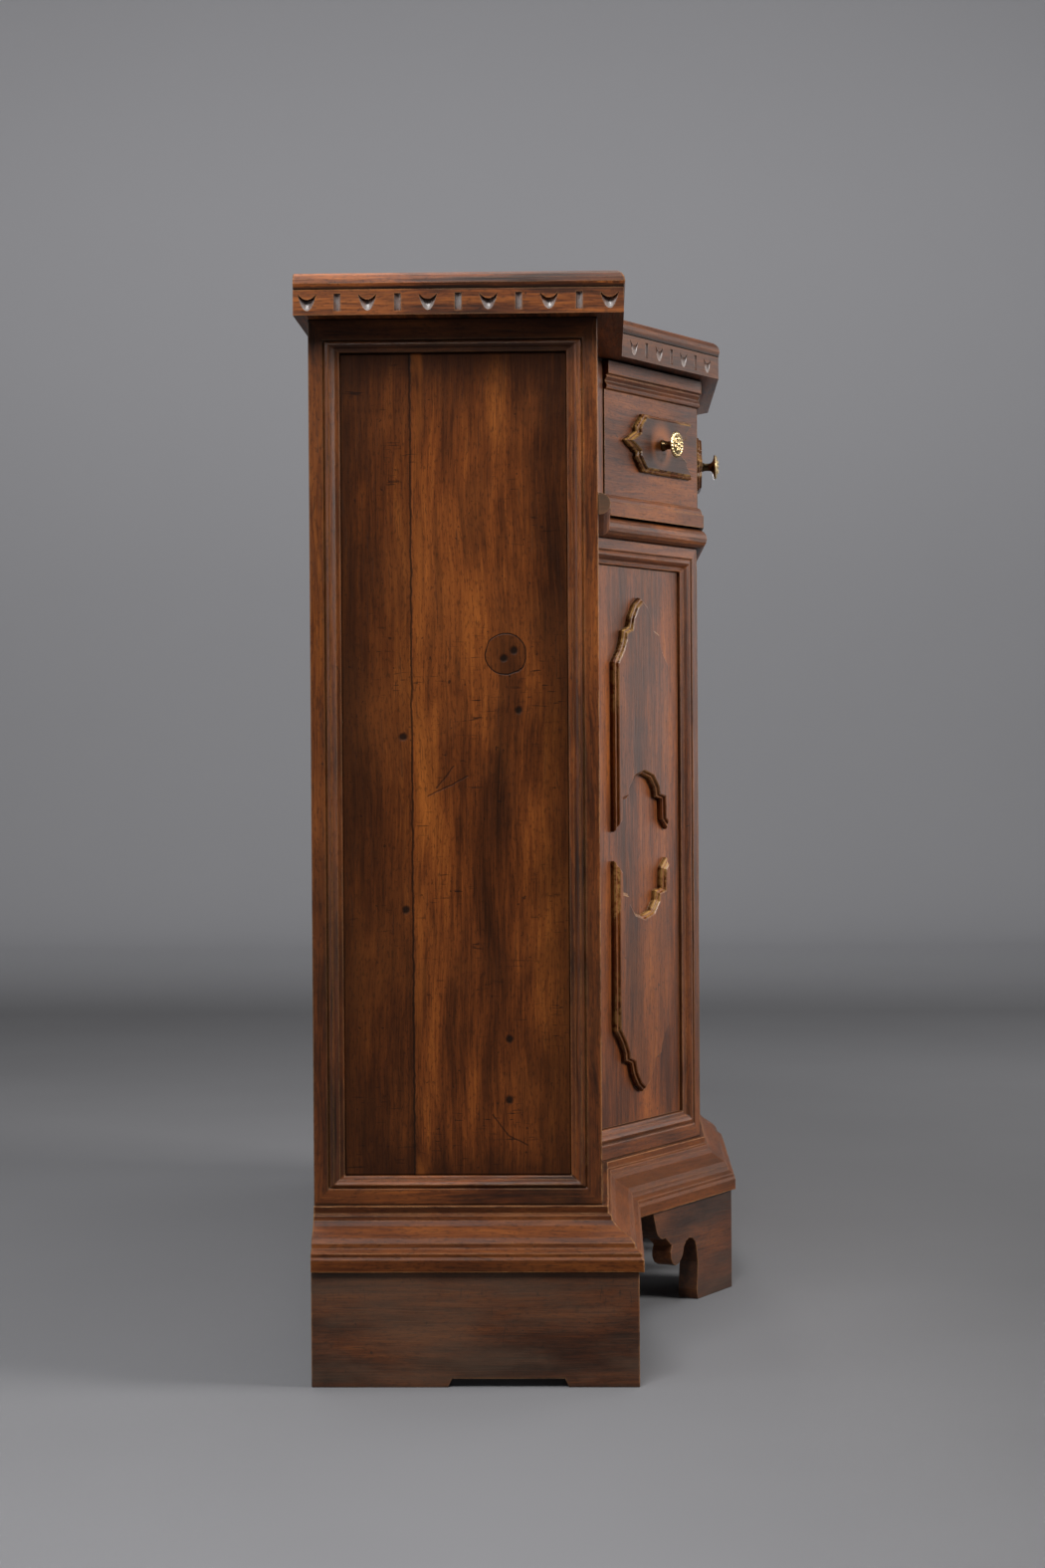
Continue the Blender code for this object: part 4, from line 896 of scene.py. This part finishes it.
def carve_cornice():
    """The cornice with half-round flutes and gouged tulips in its show edges."""
    # painted shade on the cornice's front-facing faces
    board = paint_front_lighting(wood("cornice_board", seed=5.4, **CORNICE), 0.7, DARK)
    cornice = plain_cornice(board.mat)
    hollows = paint_carving_highlights(wood("carving", seed=5.9, **CARVING))
    cuts = bmesh.new()
    for spot, _ in carving_spots(0):
        bmesh.ops.create_cone(cuts, cap_ends=True, segments=FLUTE_SIDES, radius1=FLUTE_RADIUS,
                              radius2=FLUTE_RADIUS, depth=FLUTE_HEIGHT, matrix=Matrix.Translation(spot))
    for spot, out in carving_spots(1):
        add_tulip(cuts, face_turn(spot, out))
    bmesh.ops.recalc_face_normals(cuts, faces=cuts.faces)
    cutter = object_from("cuts", cuts, hollows.mat)
    gouge = cornice.modifiers.new("gouge", "BOOLEAN")
    gouge.object = cutter
    gouge.solver = "EXACT"
    gouge.material_mode = "TRANSFER"
    bpy.context.view_layer.update()
    graph = bpy.context.evaluated_depsgraph_get()
    cornice.data = bpy.data.meshes.new_from_object(cornice.evaluated_get(graph))
    cornice.modifiers.clear()
    bpy.data.objects.remove(cutter, do_unlink=True)
    soften(cornice, CARVED_ARRIS_WIDTH)
    stand_for(cornice, "cornice_board", "carcass")


def hump(share, height, centre, spread):
    """Smooth hump: its full height at centre, 0 a spread away."""
    off = min(1.0, abs(share - centre) / spread)
    return height * (0.5 + 0.5 * math.cos(math.pi * off))


def rosette(share, angle):
    """Relief of a knob's face in metres: a boss, petals, a groove and a beaded rim."""
    petals = hump(share, *PETALS) * (0.5 + 0.5 * math.cos(PETAL_COUNT * angle))
    beads = hump(share, *BEADS) * max(0.0, math.cos(BEAD_COUNT * angle))
    return hump(share, *BOSS) + petals + hump(share, *GROOVE) + beads


def cast_knob(node, body, out):
    """Knob with a waisted stem and a cast rosette, on the seat and within the size of its CAD node."""
    points = [v.co for v in NODES[node].data.vertices]
    low = min(p.dot(out) for p in points)
    length = max(p.dot(out) for p in points) - low
    foot = [p for p in points if p.dot(out) < low + KNOB_SEAT_BAND]
    seat = sum(foot, Vector()) / len(foot)
    radius = max((p - seat - out * (p - seat).dot(out)).length for p in points)
    rings = [(share * radius, rise * length, None) for share, rise in KNOB_STEM]
    for k in range(KNOB_FACE_RINGS):
        share = KNOB_FACE_RADIUS * (1 - k / (KNOB_FACE_RINGS - 0.5))
        dome = length * (KNOB_FACE_START + KNOB_FACE_DOME * (1 - share * share))
        rings.append((share * radius, dome, share))
    turn = UP.rotation_difference(out).to_matrix()
    mesh_data = bmesh.new()
    rows = []
    for ring_radius, rise, share in rings:
        row = []
        for k in range(KNOB_SIDES):
            angle = 2 * math.pi * k / KNOB_SIDES
            lift = rise + (rosette(share, angle) if share is not None else 0.0)
            u, v = ring_radius * math.cos(angle), ring_radius * math.sin(angle)
            row.append(mesh_data.verts.new(seat + turn @ Vector((u, v, min(lift, length)))))
        rows.append(row)
    for index, (first, second) in enumerate(zip(rows, rows[1:])):
        for k in range(KNOB_SIDES):
            after = (k + 1) % KNOB_SIDES
            face = mesh_data.faces.new((first[k], first[after], second[after], second[k]))
            face.material_index = 1 if index < len(KNOB_STEM) - 2 else 0
    mesh_data.faces.new(list(reversed(rows[0])))
    mesh_data.faces.new(rows[-1])
    for face in mesh_data.faces:
        face.smooth = True
    piece = object_from(f"cast_{node}", mesh_data, BRASS)
    piece.data.materials.append(STEM_BRASS)
    stand_for(piece, node, body)


INSIDE = wood("inside_wood", RIGHT, UP, **INSIDE_WOOD).mat
IRON = iron()
BRASS = brass("brass", (0.50, 0.37, 0.19), (0.17, 0.11, 0.05))
STEM_BRASS = brass("stem_brass", (0.105, 0.068, 0.032), (0.042, 0.026, 0.013))
dress_side("left", CANT_OUT, -RIGHT, 0.0)
dress_side("right", CANT_OUT * FLIP, RIGHT, 3.1)
dress_middle()
carve_cornice()
cast_knob("centre_drawer_knob", "centre_drawer", FORWARD)
cast_knob("cant_drawer_knob_left", "cant_drawer_left", CANT_OUT)
cast_knob("cant_drawer_knob_right", "cant_drawer_right", CANT_OUT * FLIP)


# Studio
def studio_material():
    """Grey paper with painted light and shade: painted lighter up the wall, far behind the cabinet and
    where the camera stands, painted shade on the floor before it.
    """
    n = Nodes("studio_paper")
    x, y, z = n.add("ShaderNodeSeparateXYZ", {0: n.place()}).outputs
    mottle = n.swing(n.place(), PAPER_NOISE, PAPER_MOTTLE)
    shade = n.plus(n.plus(PAPER_TONE, mottle), n.times(n.near(x, *NEAR_LIGHT_ZONE), NEAR_PAINTED_LIGHT))
    aside = n.times(n.mask(n.times(y, -1.0), *ASIDE_SHADE_ZONE), ASIDE_PAINTED_SHADE)
    aside = n.times(aside, n.near(x, *ASIDE_SHADE_END))
    wall = n.times(n.mask(z, *WALL_LIGHT_ZONE), WALL_PAINTED_LIGHT)
    behind = n.plus(n.times(n.mask(x, *FAR_LIGHT_ZONE), FAR_PAINTED_LIGHT), n.times(n.mask(z, *HIGH_LIGHT_ZONE), HIGH_PAINTED_LIGHT))
    shade = n.plus(n.minus(shade, aside), n.most(wall, behind))
    n.put(n.shader.inputs["Base Color"], n.mix(1.0, shade, PAPER, "MULTIPLY"))
    n.shader.inputs["Roughness"].default_value = 0.85
    n.shader.inputs["Specular IOR Level"].default_value = 0.2
    return n.mat


def studio():
    """Seamless paper: a floor that sweeps up into a wall all round, nearest on the right side."""
    turns = [math.pi / 2 * k / SWEEP_STEPS for k in range(SWEEP_STEPS + 1)]
    rise = [(-SWEEP_LEAD, 0.0)]
    rise += [(WALL_SWEEP * math.sin(a), WALL_SWEEP - WALL_SWEEP * math.cos(a)) for a in turns]
    mesh_data = bmesh.new()
    rows = []
    for k in range(WALL_STEPS):
        angle = 2 * math.pi * k / WALL_STEPS
        away = Vector((math.cos(angle), math.sin(angle), 0))
        reach = min(NEAR_WALL / max(away.x, 0.01), FAR_WALL)
        row = [away * (reach - WALL_SWEEP + out) + UP * up for out, up in rise]
        row.append(away * reach + UP * WALL_TOP)
        rows.append([mesh_data.verts.new(point) for point in row])
    for first, second in zip(rows, rows[1:] + rows[:1]):
        for low in range(len(first) - 1):
            mesh_data.faces.new((first[low], second[low], second[low + 1], first[low + 1])).smooth = True
    mesh_data.faces.new([row[0] for row in rows])
    bmesh.ops.recalc_face_normals(mesh_data, faces=mesh_data.faces)
    floor = object_from("studio_floor", mesh_data, studio_material())


def area_light(name, place, target, size, power, colour=(1, 1, 1), spread=180):
    """A rectangular light: its width and height, its power in watts, its spread in degrees."""
    light = bpy.data.lights.new(name, "AREA")
    light.shape = "RECTANGLE"
    light.size, light.size_y = size
    light.energy = power
    light.color = colour
    light.spread = math.radians(spread)
    obj = bpy.data.objects.new(name, light)
    bpy.context.scene.collection.objects.link(obj)
    obj.location = place
    obj.rotation_euler = (Vector(target) - Vector(place)).to_track_quat("-Z", "Y").to_euler()


def lights():
    area_light("key", (-2.9, 0.6, 3.7), (-0.6, 0.0, 0.5), (1.4, 1.4), 150)
    area_light("front_fill", (-0.9, -3.4, 2.2), (-0.3, -0.1, 0.6), (1.5, 1.5), 180, (1.0, 0.97, 0.94))
    area_light("back_sheen", (-2.3, 3.0, 1.5), (-0.7, 0.0, 0.6), (1.0, 2.0), 22)
    area_light("front_sheen", (2.2, -3.4, 1.5), (-0.2, -0.1, 0.6), (2.6, 2.8), 38)
    area_light("right_fill", (2.6, 0.05, 0.85), (0.7, 0.0, 0.72), (0.35, 0.8), 1.2, spread=30)
    area_light("overhead", (0.6, 0.2, 4.4), (0.6, 0.2, 0.0), (3.4, 3.0), 120)
    world = bpy.data.worlds.new("studio")
    bpy.context.scene.world = world
    world.use_nodes = True
    world.node_tree.nodes["Background"].inputs[0].default_value = (*DAYLIGHT, 1)
    world.node_tree.nodes["Background"].inputs[1].default_value = WORLD_LIGHT


def camera():
    """The photograph's camera, placed from the cabinet's left side and back."""
    lens = bpy.data.cameras.new("photo_camera")
    lens.sensor_fit = "VERTICAL"
    lens.sensor_height = FRAME_HEIGHT
    lens.lens = LENS
    obj = bpy.data.objects.new("photo_camera", lens)
    bpy.context.scene.collection.objects.link(obj)
    place = Vector((SIDE_LOW.x - CAMERA_FROM_SIDE, SIDE_HIGH.y - CAMERA_FROM_BACK, CAMERA_HEIGHT))
    level = Vector((math.cos(CAMERA_YAW), -math.sin(CAMERA_YAW), 0))
    right = Vector((-math.sin(CAMERA_YAW), -math.cos(CAMERA_YAW), 0))
    look = level * math.cos(CAMERA_PITCH) + UP * math.sin(CAMERA_PITCH)
    rise = UP * math.cos(CAMERA_PITCH) - level * math.sin(CAMERA_PITCH)
    across = right * math.cos(CAMERA_ROLL) + rise * math.sin(CAMERA_ROLL)
    top = rise * math.cos(CAMERA_ROLL) - right * math.sin(CAMERA_ROLL)
    turn = Matrix((across, top, -look)).transposed().to_4x4()
    obj.matrix_world = Matrix.Translation(place) @ turn
    bpy.context.scene.camera = obj


studio()
lights()
camera()
